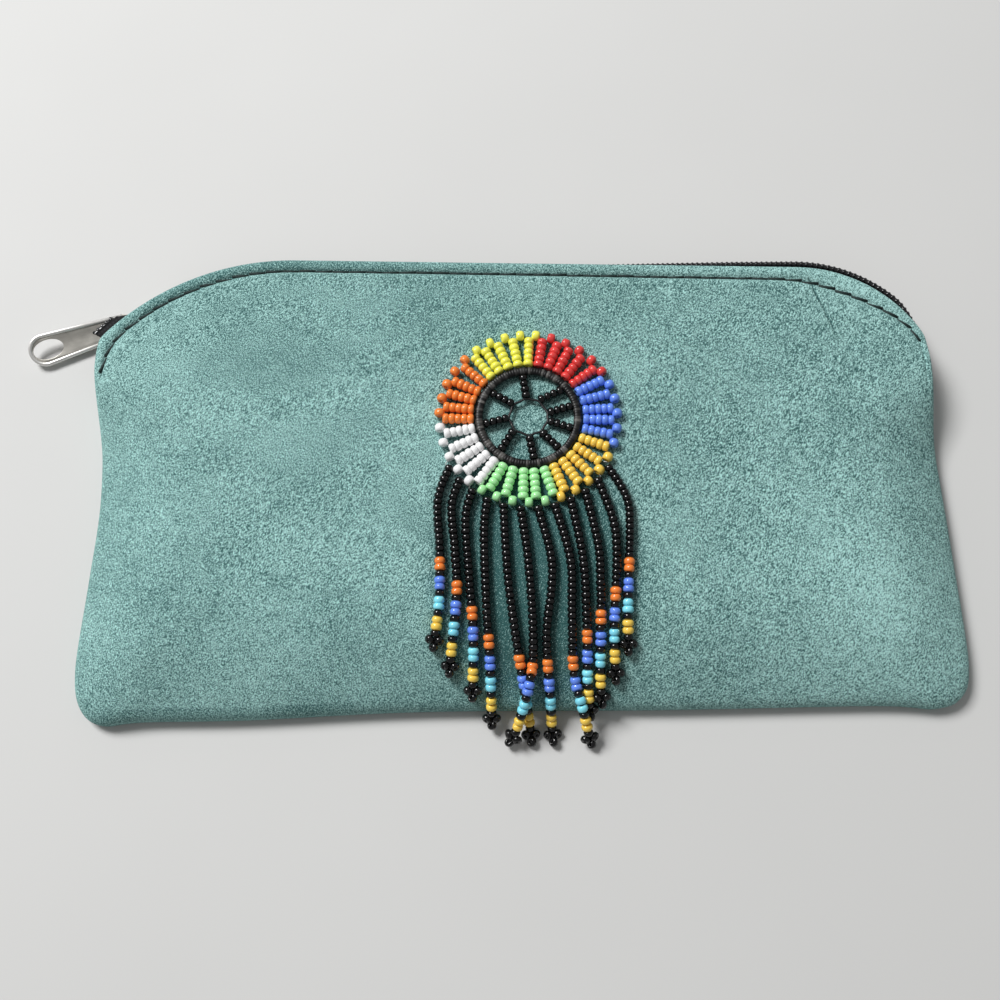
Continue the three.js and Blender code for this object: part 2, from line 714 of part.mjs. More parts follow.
// Points that each strand passes, from left to right, after the spoke that it hangs from.
const strandRoutes = [
  [[-18.8, -7.8], [-18.2, -19.2], [-18.2, -30.8], [-19.4, -40.4]],
  [[-15.7, -9], [-14.9, -19], [-14.4, -29], [-16, -45.7]],
  [[-12.6, -11.9], [-11.8, -24], [-10.8, -37.5], [-11, -50.6]],
  [[-8.5, -14.7], [-8, -30], [-7.2, -43], [-6.8, -56]],
  [[-3.8, -18], [-3, -28], [-1.2, -40.5], [1.3, -54.7], [1.9, -59.6]],
  [[1, -20], [2, -34.3], [1.8, -45], [-1.1, -56], [-3.1, -59.6]],
  [[6.1, -20.3], [6.1, -28], [5, -38], [6, -52.4], [6.7, -59.6]],
  [[10.3, -21], [10.5, -33], [10.9, -45], [13.4, -54.9], [15, -60]],
  [[13.1, -20.8], [13.7, -35], [13.9, -47], [14.7, -54.3]],
  [[16.5, -18], [16.8, -28], [16.6, -45], [17.2, -51.8]],
  [[19.9, -12.2], [20.5, -20], [19.6, -36], [20, -47.1]],
  [[23, -7], [23.6, -14], [22.6, -31], [22.6, -41.2]],
];
const lastStrandSpoke = 27;

// Fringe beads below the black ones: four pairs of coloured beads, each followed by a black one.
const blackBead = { length: fringePitch, colour: colours.black };
const tipBeads = [colours.orange, colours.blue, colours.turquoise, colours.gold].flatMap((colour) => {
  const coloured = { length: fringeColourPitch, colour };
  return [coloured, coloured, blackBead];
});
const picotLength = 2 * fringePitch;
const tipLength = tipBeads.reduce((sum, { length }) => sum + length, picotLength);
const steepest = 0.8;
const overBead = 2 * beadRadius + strandGap;
const laid = [];

// The line of one strand, laid on what is under it, with its length at each point.
function layStrand(index) {
  const from = rosettePoint(strandStart, spokeAngle(lastStrandSpoke - index));
  const route = [from, ...strandRoutes[index].map(([x, y]) => new THREE.Vector3(x, y, 0))];
  const flat = route.map((p) => new THREE.Vector3(p.x, p.y, 0));
  const points = new THREE.CatmullRomCurve3(flat, false, "centripetal").getSpacedPoints(180);
  points.forEach((p) => {
    p.z = supportAt(p.x, p.y) + beadLift;
    laid.flat().forEach((q) => {
      const apart = Math.hypot(p.x - q.x, p.y - q.y);
      if (apart < overBead) {
        p.z = Math.max(p.z, q.z + Math.sqrt(overBead ** 2 - apart ** 2));
      }
    });
  });
  const step = Math.hypot(points[1].x - points[0].x, points[1].y - points[0].y);
  for (let i = 1; i < points.length; i += 1) {
    points[i].z = Math.max(points[i].z, points[i - 1].z - steepest * step);
  }
  for (let i = points.length - 2; i >= 0; i -= 1) {
    points[i].z = Math.max(points[i].z, points[i + 1].z - steepest * step);
  }
  laid.push(points);
  const lengths = [0];
  points.slice(1).forEach((p, i) => lengths.push(lengths[i] + p.distanceTo(points[i])));
  return { points, lengths };
}

function strand(index) {
  const { points, lengths } = layStrand(index);
  const whole = lengths.at(-1);
  const placeAt = (s) => {
    const i = Math.min(Math.max(lengths.findIndex((length) => length >= s), 1), points.length - 1);
    const share = (s - lengths[i - 1]) / (lengths[i] - lengths[i - 1]);
    return points[i - 1].clone().lerp(points[i], Math.min(share, 1));
  };
  const blackCount = Math.max(Math.round((whole - tipLength) / fringePitch), 1);
  const upperBead = { length: (whole - tipLength) / blackCount, colour: colours.black };
  const upperBeads = Array.from({ length: blackCount }, () => upperBead);
  const stops = beadStops([...upperBeads, ...tipBeads], beadRadius, placeAt);
  const addStop = (share, across, high) => {
    const at = placeAt(whole - (1 - share) * picotLength);
    stops.push({ at, across, high, colour: colours.black });
  };
  addStop(0.25, 1.5 * beadRadius, beadRadius);
  addStop(0.55, 0.7 * beadRadius, waist);
  addStop(0.75, 0.9 * beadRadius, beadRadius);
  addStop(1, waist, waist);
  return beadRun(stops);
}

// Strand 6 crosses over strand 5, and strand 8 over strand 9, so those are laid after them.
const layingOrder = [1, 2, 3, 4, 5, 6, 7, 9, 8, 10, 11, 12];
layingOrder.forEach((number) => {
  addPiece(`fringe_strand_${number}`, strand(number - 1), colours.black);
});

export default purse;
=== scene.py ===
"""Dresses a flat suede zip purse with a beaded rosette and a bead fringe, lying on its back on a table.

Metres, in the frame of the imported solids: +X to the right of the purse, +Y towards the zip and +Z out of its
front.
"""

import json
import logging
import math
import random
from abc import ABC, abstractmethod
from collections.abc import Sequence
from dataclasses import dataclass, field
from enum import Enum

import bmesh
import bpy
from mathutils import Matrix, Vector, noise
from mathutils.bvhtree import BVHTree
from mathutils.geometry import interpolate_bezier


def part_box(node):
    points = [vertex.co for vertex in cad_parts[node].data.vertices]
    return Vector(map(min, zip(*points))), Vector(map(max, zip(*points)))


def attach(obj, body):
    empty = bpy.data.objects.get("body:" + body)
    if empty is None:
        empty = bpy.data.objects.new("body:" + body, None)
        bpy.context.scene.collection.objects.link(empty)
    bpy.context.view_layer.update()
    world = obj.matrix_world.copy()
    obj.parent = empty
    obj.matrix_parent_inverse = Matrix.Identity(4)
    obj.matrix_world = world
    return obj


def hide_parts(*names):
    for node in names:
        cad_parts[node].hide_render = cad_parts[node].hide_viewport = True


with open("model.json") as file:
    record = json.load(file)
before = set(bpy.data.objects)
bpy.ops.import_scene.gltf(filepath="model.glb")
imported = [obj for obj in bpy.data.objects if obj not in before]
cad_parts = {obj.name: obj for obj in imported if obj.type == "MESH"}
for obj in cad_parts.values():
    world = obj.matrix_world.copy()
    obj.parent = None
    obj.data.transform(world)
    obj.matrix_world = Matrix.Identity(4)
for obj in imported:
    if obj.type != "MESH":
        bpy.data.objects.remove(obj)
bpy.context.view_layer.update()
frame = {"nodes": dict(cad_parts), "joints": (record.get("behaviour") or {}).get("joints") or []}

LOG = logging.getLogger("suede_purse")
MM = 0.001
TURN = 2 * math.pi
UP = Vector((0, 0, 1))
# Metres: how near points are that are welded.
WELD = 1e-6
FINE_WELD = 1e-7

# The vertex attribute that makes a bead lighter or darker, sets how strong a turn of thread's painted glint
# is, and carries the hem's painted shade.
TONE = "tone"

Colour = tuple[float, float, float]
Plan = tuple[float, float]
Row = list[bmesh.types.BMVert]


def mix(first: float, last: float, share: float) -> float:
    """Gives the number a share of the way from first to last."""
    return first + (last - first) * share


def ease(value: float, low: float, high: float) -> float:
    """Gives 0 below low, 1 above high and a smooth step between them."""
    share = min(max((value - low) / (high - low), 0.0), 1.0)
    return share * share * (3 - 2 * share)


class Val:
    """A number in a material, whose arithmetic adds Math nodes."""

    def __init__(self, graph: "Graph", socket: bpy.types.NodeSocket) -> None:
        """Wraps a socket of a graph."""
        self.graph = graph
        self.socket = socket

    def _math(self, operation: str, first: "Val | float", second: "Val | float") -> "Val":
        """Adds one Math node.

        Args:
            operation: The node's operation.
            first: Its first number.
            second: Its second number.

        Returns:
            The node's result.
        """
        return self.graph.value("ShaderNodeMath", {"operation": operation}, {0: first, 1: second})

    def __add__(self, other: "Val | float") -> "Val":
        """Adds."""
        return self._math("ADD", self, other)

    def __radd__(self, other: float) -> "Val":
        """Adds to a plain number."""
        return self._math("ADD", other, self)

    def __sub__(self, other: "Val | float") -> "Val":
        """Subtracts."""
        return self._math("SUBTRACT", self, other)

    def __rsub__(self, other: float) -> "Val":
        """Subtracts from a plain number."""
        return self._math("SUBTRACT", other, self)

    def __mul__(self, other: "Val | float") -> "Val":
        """Multiplies."""
        return self._math("MULTIPLY", self, other)

    def __rmul__(self, other: float) -> "Val":
        """Multiplies a plain number."""
        return self._math("MULTIPLY", other, self)

    def step(self, low: float, high: float) -> "Val":
        """Gives 0 below low, 1 above high and a smooth step between them."""
        sockets = {"Value": self, "From Min": low, "From Max": high}
        return self.graph.value("ShaderNodeMapRange", {"interpolation_type": "SMOOTHSTEP"}, sockets)


class Graph:
    """The node tree of one material."""

    # Far outside the part, as the layers of a noise line up at its own middle.
    PATTERN_START = (0.3137, 0.2719, 0.1931)
    NOISE_ROUGHNESS = 0.55
    # The scale at which the bands of a wave are one metre apart.
    BAND_SCALE = 0.31

    def __init__(self, material: bpy.types.Material) -> None:
        """Empties the material's tree and keeps it."""
        material.use_nodes = True
        self.tree = material.node_tree
        self.tree.nodes.clear()

    def node(self, kind: str, settings: dict | None = None, sockets: dict | None = None) -> bpy.types.Node:
        """Adds one node.

        Args:
            kind: The node's type.
            settings: Its properties, set before its sockets.
            sockets: Values or links by the socket's name or number.

        Returns:
            The node.
        """
        made = self.tree.nodes.new(kind)
        for key, value in (settings or {}).items():
            setattr(made, key, value)
        for key, value in (sockets or {}).items():
            source = value.socket if isinstance(value, Val) else value
            if isinstance(source, bpy.types.NodeSocket):
                self.tree.links.new(source, made.inputs[key])
            else:
                made.inputs[key].default_value = source
        return made

    def value(self, kind: str, settings: dict, sockets: dict, output: int | str = 0) -> Val:
        """Adds a node and wraps one of its outputs."""
        return Val(self, self.node(kind, settings, sockets).outputs[output])

    def tone(self) -> Val:
        """Gives the tone that the surface's own vertices carry."""
        return self.value("ShaderNodeAttribute", {"attribute_name": TONE}, {}, "Fac")

    def place(self) -> bpy.types.NodeSocket:
        """Gives the point of the surface in the frame of the part."""
        return self.node("ShaderNodeTexCoord").outputs["Object"]

    def flat(self, tall: float = 1.0) -> bpy.types.NodeSocket:
        """Gives the point of the surface seen from above, drawn together along Y for a tall patch."""
        sockets = {0: self.place(), 1: (1, 1 / tall, 0)}
        return self.node("ShaderNodeVectorMath", {"operation": "MULTIPLY"}, sockets).outputs[0]

    def turned(self, turn: float = 0.0, stretch: float = 1.0) -> bpy.types.NodeSocket:
        """Gives the point of the surface for a pattern that is moved off the middle, turned and stretched.

        Args:
            turn: How far the pattern is turned about Z, in radians.
            stretch: How much it is stretched along its own X.

        Returns:
            The mapped point.
        """
        sockets = {
            "Vector": self.place(), "Location": self.PATTERN_START, "Rotation": (0, 0, turn),
            "Scale": (stretch, 1, 1),
        }
        return self.node("ShaderNodeMapping", {"vector_type": "TEXTURE"}, sockets).outputs[0]

    def noise(self, size: float, detail: float = 2.0, place: bpy.types.NodeSocket | None = None) -> Val:
        """Adds a noise pattern centred on 0.5.

        Args:
            size: The size of its features, in metres.
            detail: How many finer layers it has.
            place: The point that it reads, or none for the plain one.

        Returns:
            The pattern's value.
        """
        sockets = {
            "Vector": place or self.turned(), "Scale": 1 / size, "Detail": detail,
            "Roughness": self.NOISE_ROUGHNESS,
        }
        return self.value("ShaderNodeTexNoise", {}, sockets)

    def bands(self, width: float, waver: float, detail: float, place: bpy.types.NodeSocket) -> Val:
        """Adds slanted bands.

        Args:
            width: How far apart neighbouring bands are, in metres.
            waver: How wavy they are.
            detail: How many finer layers the waviness has.
            place: The point that they read.

        Returns:
            The pattern's value.
        """
        settings = {"wave_type": "BANDS", "bands_direction": "DIAGONAL"}
        sockets = {"Vector": place, "Scale": self.BAND_SCALE / width, "Distortion": waver, "Detail": detail}
        return self.value("ShaderNodeTexWave", settings, sockets)

    def blend(self, share: Val, first: Colour, last: Colour) -> bpy.types.NodeSocket:
        """Mixes two colours.

        Args:
            share: 0 for the first colour, 1 for the last.
            first: The first colour.
            last: The last colour.

        Returns:
            The mixed colour.
        """
        sockets = {0: share, 6: (*first, 1), 7: (*last, 1)}
        return self.node("ShaderNodeMix", {"data_type": "RGBA"}, sockets).outputs[2]

    def bump(self, height: Val, depth: float, strength: float = 1.0) -> bpy.types.NodeSocket:
        """Adds a bump.

        Args:
            height: The height pattern, from 0 to 1.
            depth: What a height of 1 measures, in metres.
            strength: How much of it shows.

        Returns:
            The bumped normal.
        """
        sockets = {"Height": height, "Distance": depth, "Strength": strength}
        return self.node("ShaderNodeBump", {}, sockets).outputs[0]

    def surface(self, **sockets: object) -> None:
        """Adds the principled shader and the output.

        Args:
            sockets: The shader's values or links by the socket's name, with _ for a space.
        """
        named = {key.replace("_", " "): value for key, value in sockets.items()}
        shader = self.node("ShaderNodeBsdfPrincipled", {}, named)
        self.node("ShaderNodeOutputMaterial", {}, {"Surface": shader.outputs[0]})


class Finish(ABC):
    """A finish that makes one material, once."""

    name: str

    @abstractmethod
    def dress(self, graph: Graph) -> None:
        """Builds the material's nodes."""

    def material(self) -> bpy.types.Material:
        """Makes the finish's material at its first use.

        Returns:
            The material.
        """
        made = bpy.data.materials.get(self.name)
        if made is None:
            made = bpy.data.materials.new(self.name)
            self.dress(Graph(made))
        return made


@dataclass(frozen=True)
class PatchOrPaintedShade:
    """A soft patch of the suede that is lighter or darker than the rest; the ones inside the ring and between
    the fringe's strands are painted shade.

    The full tone fills its core, which is a share of its reach.
    """

    at: Plan
    reach: float
    tone: float
    tall: float = 1.0
    core: float = 0.0


@dataclass(frozen=True)
class Suede(Finish):
    """Napped teal suede: fine slanted fibres, soft mottling and brushed patches."""

    name: str = "teal_suede"
    deep: Colour = (0.036, 0.112, 0.110)
    pale: Colour = (0.470, 0.775, 0.740)
    sheen: Colour = (0.55, 0.85, 0.82)
    base_tone: float = 0.42
    fibre: float = 0.19 * MM
    clump: float = 0.40 * MM
    fibre_turn: float = math.radians(54)
    fibre_stretch: float = 2.0
    clump_stretch: float = 1.6
    fibre_tone: float = 3.9
    clump_tone: float = 0.6
    mottle: float = 2.6 * MM
    mottle_tone: float = 0.3
    patch: float = 16 * MM
    patch_tone: float = 0.45
    brushed: float = 70 * MM
    brushed_tone: float = 0.25
    # The nap is more ruffled towards the right.
    ruffled_over: Plan = (-0.005, 0.05)
    ruffled_clump_tone: float = 1.7
    ruffled_mottle_tone: float = 0.15
    nap_depth: float = 0.3 * MM
    nap_strength: float = 0.7
    mottle_height: float = 0.8
    crease: tuple[Plan, Plan] = ((0.0683, 0.0482), (0.0742, 0.0317))
    crease_width: float = 0.36 * MM
    crease_waver: float = 0.8 * MM
    crease_waver_size: float = 3 * MM
    crease_start: float = 1 * MM
    crease_fade: float = 0.6
    # How dark the crease's line is painted, as shade.
    crease_painted_shade: float = 0.6
    crease_depth: float = 1.5
    patches_and_painted_shade: tuple[PatchOrPaintedShade, ...] = (
        PatchOrPaintedShade((-0.066, 0.036), 0.026, -0.08),
        PatchOrPaintedShade((-0.086, -0.005), 0.030, -0.01),
        PatchOrPaintedShade((-0.020, 0.046), 0.022, -0.04),
        PatchOrPaintedShade((0.012, 0.046), 0.026, -0.08),
        PatchOrPaintedShade((0.066, 0.040), 0.018, -0.05),
        PatchOrPaintedShade((0.078, -0.034), 0.038, 0.27),
        PatchOrPaintedShade((-0.066, -0.044), 0.028, 0.02),
        PatchOrPaintedShade((-0.007, 0.036), 0.010, -0.14),
        # Painted shade between the fringe's strands.
        PatchOrPaintedShade((0.0025, -0.024), 0.027, -0.58, 1.25, 0.55),
        # Painted shade inside the rosette's ring.
        PatchOrPaintedShade((0.0014, 0.0119), 0.0095, -0.16, 1.0, 0.6),
    )
    # A ring of painted shade on the suede under the rosette's spokes.
    shade_ring_at: Plan = (0.0014, 0.0119)
    shade_ring_inner: Plan = (0.0095, 0.0125)
    shade_ring_outer: Plan = (0.0180, 0.0215)
    shade_ring_tone: float = -0.32

    def away(self, graph: Graph, at: Plan, tall: float = 1.0) -> Val:
        """Gives how far the surface is from a point, seen from above, or how far across for a tall patch."""
        ends = {0: graph.flat(tall), 1: (at[0], at[1] / tall, 0)}
        return graph.value("ShaderNodeVectorMath", {"operation": "DISTANCE"}, ends, "Value")

    def patch_and_shade_tone(self, graph: Graph) -> Val:
        """Adds the soft patches, the painted shade under and inside the rosette and between the fringe's
        strands, and the hem's painted shade.

        Args:
            graph: The material's nodes.

        Returns:
            The sum of their tones.
        """
        tone = graph.tone()
        for mark in self.patches_and_painted_shade:
            away = self.away(graph, mark.at, mark.tall)
            tone = tone + mark.tone * (1 - away.step(mark.core * mark.reach, mark.reach))
        # Painted shade under the rosette's spokes.
        away = self.away(graph, self.shade_ring_at)
        shade_ring_mask = away.step(*self.shade_ring_inner) * (1 - away.step(*self.shade_ring_outer))
        return tone + self.shade_ring_tone * shade_ring_mask

    def crease_line(self, graph: Graph) -> Val:
        """Adds the sharp line of the crease.

        Args:
            graph: The material's nodes.

        Returns:
            1 on the line and 0 off it.
        """
        first, last = (Vector((*end, 0)) for end in self.crease)
        run = (last - first).normalized()
        length = (last - first).length
        start = graph.node("ShaderNodeVectorMath", {"operation": "SUBTRACT"}, {0: graph.flat(), 1: first})

        def part(way: Vector) -> Val:
            """Gives how far the point is from the crease's start along a way."""
            sockets = {0: start.outputs[0], 1: way}
            return graph.value("ShaderNodeVectorMath", {"operation": "DOT_PRODUCT"}, sockets, "Value")

        along = part(run)
        waver = graph.noise(self.crease_waver_size, 1) - 0.5
        away = part(Vector((run.y, -run.x, 0))) + self.crease_waver * waver
        near = (away * away).step(0, self.crease_width ** 2)
        begun = along.step(-self.crease_start, self.crease_start)
        return (1 - near) * begun * (1 - along.step(self.crease_fade * length, length))

    def dress(self, graph: Graph) -> None:
        """Builds the nap from five scales of noise, the patches and the crease, with painted shade along the
        crease.

        Args:
            graph: The material's nodes.
        """
        fibre = graph.noise(self.fibre, 1.5, graph.turned(self.fibre_turn, self.fibre_stretch))
        clump = graph.noise(self.clump, 2, graph.turned(self.fibre_turn, self.clump_stretch))
        crease = self.crease_line(graph)
        mottle = graph.noise(self.mottle, 3)
        patch = graph.noise(self.patch, 2)
        brushed = graph.noise(self.brushed, 1)
        ruffled = graph.value("ShaderNodeSeparateXYZ", {}, {0: graph.place()}).step(*self.ruffled_over)
        clump_tone = self.clump_tone + self.ruffled_clump_tone * ruffled
        mottle_tone = self.mottle_tone + self.ruffled_mottle_tone * ruffled
        tone = self.base_tone + self.fibre_tone * (fibre - 0.5) + clump_tone * (clump - 0.5)
        # The crease's line is painted darker, as shade.
        tone = tone - self.crease_painted_shade * crease + mottle_tone * (mottle - 0.5)
        tone = tone + self.patch_tone * (patch - 0.5) + self.brushed_tone * (brushed - 0.5)
        tone = tone + self.patch_and_shade_tone(graph)
        height = fibre + clump + self.mottle_height * mottle - self.crease_depth * crease
        graph.surface(
            Base_Color=graph.blend(tone, self.deep, self.pale),
            Roughness=0.95,
            Specular_IOR_Level=0.1,
            Sheen_Weight=0.22,
            Sheen_Roughness=0.5,
            Sheen_Tint=(*self.sheen, 1),
            Normal=graph.bump(height, self.nap_depth, self.nap_strength),
        )


class BeadColour(Enum):
    """The colours of the glass beads, with the record's slot of each."""

    BLACK = ("black_beads", (0.0025, 0.0025, 0.003))
    YELLOW = ("yellow_beads", (0.98, 0.92, 0.110))
    RED = ("red_beads", (0.74, 0.056, 0.052))
    BLUE = ("blue_beads", (0.135, 0.27, 0.86))
    GOLD = ("gold_beads", (0.97, 0.62, 0.095))
    GREEN = ("green_beads", (0.41, 0.86, 0.39))
    WHITE = ("white_beads", (0.97, 0.97, 0.97))
    ORANGE = ("orange_beads", (0.90, 0.235, 0.042))
    TURQUOISE = ("turquoise_beads", (0.24, 0.75, 0.93))

    @property
    def slot(self) -> str:
        """The record's material slot."""
        return self.value[0]

    @property
    def tint(self) -> Colour:
        """The glass's colour."""
        return self.value[1]


@dataclass(frozen=True)
class BeadGlass(Finish):
    """Opaque glossy glass of one colour, a little different from bead to bead."""

    colour: BeadColour
    streak: float = 0.5 * MM
    streak_tone: float = 0.5
    grain: float = 0.25 * MM
    low: float = 0.90
    high: float = 1.12
    high_lift: float = 0.001
    brightest: float = 0.97

    @property
    def name(self) -> str:
        """The material's name."""
        return f"glass_{self.colour.name.lower()}"

    def dress(self, graph: Graph) -> None:
        """Shades each bead by its own tone, with faint streaks in the glass.

        Args:
            graph: The material's nodes.
        """
        share = graph.tone() + self.streak_tone * (graph.noise(self.streak, 1) - 0.5)
        low = tuple(self.low * part for part in self.colour.tint)
        high = tuple(min(self.high * part + self.high_lift, self.brightest) for part in self.colour.tint)
        dark = self.colour is BeadColour.BLACK
        graph.surface(
            Base_Color=graph.blend(share, low, high),
            Roughness=(0.05 if dark else 0.12) + 0.12 * graph.noise(self.grain, 2),
            Specular_IOR_Level=0.55 if dark else 0.5,
            Coat_Weight=0.0 if dark else 0.15,
            Coat_Roughness=0.06,
        )


@dataclass(frozen=True)
class CoilNylon(Finish):
    """Shiny black nylon wire."""

    name: str = "coil_nylon"
    tint: Colour = (0.010, 0.010, 0.011)
    worn: Colour = (0.022, 0.022, 0.024)
    wear: float = 1.5 * MM
    grain: float = 0.3 * MM
    grain_depth: float = 0.03 * MM

    def dress(self, graph: Graph) -> None:
        """Adds faint wear and a gloss that varies along the wire.

        Args:
            graph: The material's nodes.
        """
        wear = graph.noise(self.wear, 3)
        graph.surface(
            Base_Color=graph.blend(wear, self.tint, self.worn),
            Roughness=0.05 + 0.12 * wear,
            Specular_IOR_Level=0.6,
            Normal=graph.bump(graph.noise(self.grain, 2), self.grain_depth, 0.4),
        )


@dataclass(frozen=True)
class TapeWeave(Finish):
    """Black woven zip tape."""

    name: str = "tape_weave"
    # The valleys of the weave are painted darker, as shade.
    valley_shade: Colour = (0.005, 0.005, 0.006)
    crest: Colour = (0.024, 0.024, 0.026)
    rib: float = 0.6 * MM
    rib_waver: float = 0.6
    rib_depth: float = 0.1 * MM

    def dress(self, graph: Graph) -> None:
        """Crosses two sets of ribs, with painted shade in the valleys between them.

        Args:
            graph: The material's nodes.
        """
        warp = graph.bands(self.rib, self.rib_waver, 2, graph.place())
        weft = graph.bands(self.rib, self.rib_waver, 2, graph.turned(math.radians(90)))
        weave = warp * weft
        graph.surface(
            Base_Color=graph.blend(weave, self.valley_shade, self.crest),
            Roughness=0.8,
            Specular_IOR_Level=0.25,
            Normal=graph.bump(weave, self.rib_depth, 0.7),
        )


@dataclass(frozen=True)
class ZipMetal(Finish):
    """Plated zinc with fine brushing; the rims are polished brighter than the plates."""

    name: str
    dull: Colour
    bright: Colour
    gloss: float
    brushing: float = 0.12 * MM
    brushing_turn: float = math.radians(23)
    brushing_stretch: float = 14.0
    tarnish: float = 2.4 * MM
    mark_depth: float = 0.02 * MM

    def dress(self, graph: Graph) -> None:
        """Adds brushing along one slant and small tarnish marks.

        Args:
            graph: The material's nodes.
        """
        brushing = graph.noise(self.brushing, 2, graph.turned(self.brushing_turn, self.brushing_stretch))
        tarnish = graph.noise(self.tarnish, 4)
        graph.surface(
            Base_Color=graph.blend(0.5 * brushing + 0.9 * tarnish - 0.2, self.dull, self.bright),
            Metallic=1.0,
            Roughness=self.gloss + 0.16 * tarnish + 0.1 * brushing,
            Normal=graph.bump(brushing + tarnish, self.mark_depth, 0.5),
        )


@dataclass(frozen=True)
class Thread(Finish):
    """Twisted thread."""

    name: str
    # The hollows between the plies are painted darker, as shade.
    hollow_shade: Colour
    crest: Colour
    gloss: float
    ply: float = 0.35 * MM
    ply_waver: float = 1.5
    ply_depth: float = 0.06 * MM
    fuzz: float = 0.2 * MM

    def dress(self, graph: Graph) -> None:
        """Twists the plies in slanted bands, with painted shade in the hollows between them.

        Args:
            graph: The material's nodes.
        """
        twist = graph.bands(self.ply, self.ply_waver, 1, graph.place())
        fuzz = graph.noise(self.fuzz, 2)
        graph.surface(
            Base_Color=graph.blend(0.7 * twist + 0.5 * fuzz - 0.1, self.hollow_shade, self.crest),
            Roughness=self.gloss + 0.25 * fuzz,
            Specular_IOR_Level=0.45,
            Normal=graph.bump(twist, self.ply_depth, 0.5),
        )


@dataclass(frozen=True)
class WrapGloss(Finish):
    """Flat black thread wound round a ring, each turn with its own gloss and a painted glint of its own
    strength.
    """

    name: str = "ring_wrap"
    dark: Colour = (0.004, 0.004, 0.0045)
    # The lighter colour is a painted glint.
    painted_glint: Colour = (0.125, 0.121, 0.114)
    wear: float = 0.5 * MM

    def dress(self, graph: Graph) -> None:
        """Paints each turn's glint into its colour, as strong as its own tone.

        Args:
            graph: The material's nodes.
        """
        tone = graph.tone()
        wear = graph.noise(self.wear, 2)
        graph.surface(
            # Turns with a high tone get a painted glint.
            Base_Color=graph.blend(tone * tone * tone * (0.3 + 1.4 * wear), self.dark, self.painted_glint),
            Roughness=0.28 + 0.2 * wear,
            Specular_IOR_Level=0.3,
        )


@dataclass(frozen=True)
class PaleFloor(Finish):
    """A plain pale table top."""

    name: str = "pale_floor"
    shade: Colour = (0.64, 0.64, 0.63)
    light: Colour = (0.67, 0.67, 0.66)
    cloud: float = 60 * MM

    def dress(self, graph: Graph) -> None:
        """Adds a hardly visible cloudiness.

        Args:
            graph: The material's nodes.
        """
        graph.surface(
            Base_Color=graph.blend(graph.noise(self.cloud, 2), self.shade, self.light),
            Roughness=0.9,
            Specular_IOR_Level=0.15,
        )


SUEDE = Suede()
COIL = CoilNylon()
TAPE = TapeWeave()
PLATE_METAL = ZipMetal("satin_plate", (0.40, 0.385, 0.352), (0.60, 0.58, 0.53), 0.36)
RIM_METAL = ZipMetal("polished_rim", (0.84, 0.83, 0.80), (0.95, 0.94, 0.91), 0.30)
RING_WRAP = WrapGloss()
WOUND_THREAD = Thread("wound_thread", (0.004, 0.004, 0.005), (0.016, 0.016, 0.018), 0.25)
STITCH_THREAD = Thread("stitch_thread", (0.005, 0.013, 0.012), (0.018, 0.040, 0.038), 0.6)
CLEAR_THREAD = Thread("clear_thread", (0.50, 0.52, 0.50), (0.80, 0.82, 0.80), 0.15)


@dataclass
class Piece:
    """A piece of the scene, with the body that carries it and the solids that it stands for."""

    name: str
    slot: str
    finishes: Sequence[Finish]
    body: str = "purse"
    stands_for: tuple[str, ...] = ()

    def settle(self, made: bpy.types.Object) -> bpy.types.Object:
        """Hangs a finished object in the frame.

        Args:
            made: The object.

        Returns:
            The same object.
        """
        bpy.context.scene.collection.objects.link(made)
        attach(made, self.body)
        if self.stands_for:
            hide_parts(*self.stands_for)
        LOG.info("%s on %s, %s", self.name, self.body, ", ".join(f.name for f in self.finishes))
        return made

    def from_bmesh(self, bm: bmesh.types.BMesh) -> bpy.types.Object:
        """Makes the object from a bmesh, and frees it.

        Args:
            bm: The finished shape.

        Returns:
            The object, in the frame.
        """
        for face in bm.faces:
            face.smooth = True
        mesh = bpy.data.meshes.new(self.name)
        bm.to_mesh(mesh)
        bm.free()
        for finish in self.finishes:
            mesh.materials.append(finish.material())
        return self.settle(bpy.data.objects.new(self.name, mesh))


def curve_data(name: str, points: Sequence[Vector], radius: float) -> bpy.types.Curve:
    """Makes a round wire through points.

    Args:
        name: The curve's name.
        points: The points of its one spline.
        radius: Half its thickness.

    Returns:
        The curve.
    """
    curve = bpy.data.curves.new(name, "CURVE")
    curve.dimensions = "3D"
    curve.bevel_depth = radius
    curve.bevel_resolution = 1
    curve.use_fill_caps = True
    spline = curve.splines.new("POLY")
    spline.points.add(len(points) - 1)
    for knot, point in zip(spline.points, points):
        knot.co = (*point, 1)
    return curve


def add_curve(bm: bmesh.types.BMesh, curve: bpy.types.Curve) -> None:
    """Adds the surface of a curve to a bmesh, and removes the curve.

    Args:
        bm: The bmesh.
        curve: The curve.
    """
    carrier = bpy.data.objects.new(curve.name, curve)
    mesh = bpy.data.meshes.new_from_object(carrier)
    bm.from_mesh(mesh)
    bpy.data.objects.remove(carrier)
    bpy.data.meshes.remove(mesh)
    bpy.data.curves.remove(curve)


def extruded(bm: bmesh.types.BMesh, row: Row, closed: bool) -> Row:
    """Extrudes a row of joined vertices where it is.

    Args:
        bm: The bmesh.
        row: The vertices, in order.
        closed: Whether the last is joined to the first.

    Returns:
        The new row, in the same order.
    """
    ahead = row[1:] + row[:1] if closed else row[1:]
    edges = [bm.edges.get(pair) for pair in zip(row, ahead)]
    grown = bmesh.ops.extrude_edge_only(bm, edges=edges)["geom"]
    fresh = {item for item in grown if isinstance(item, bmesh.types.BMVert)}
    return [next(e.other_vert(v) for e in v.link_edges if e.other_vert(v) in fresh) for v in row]


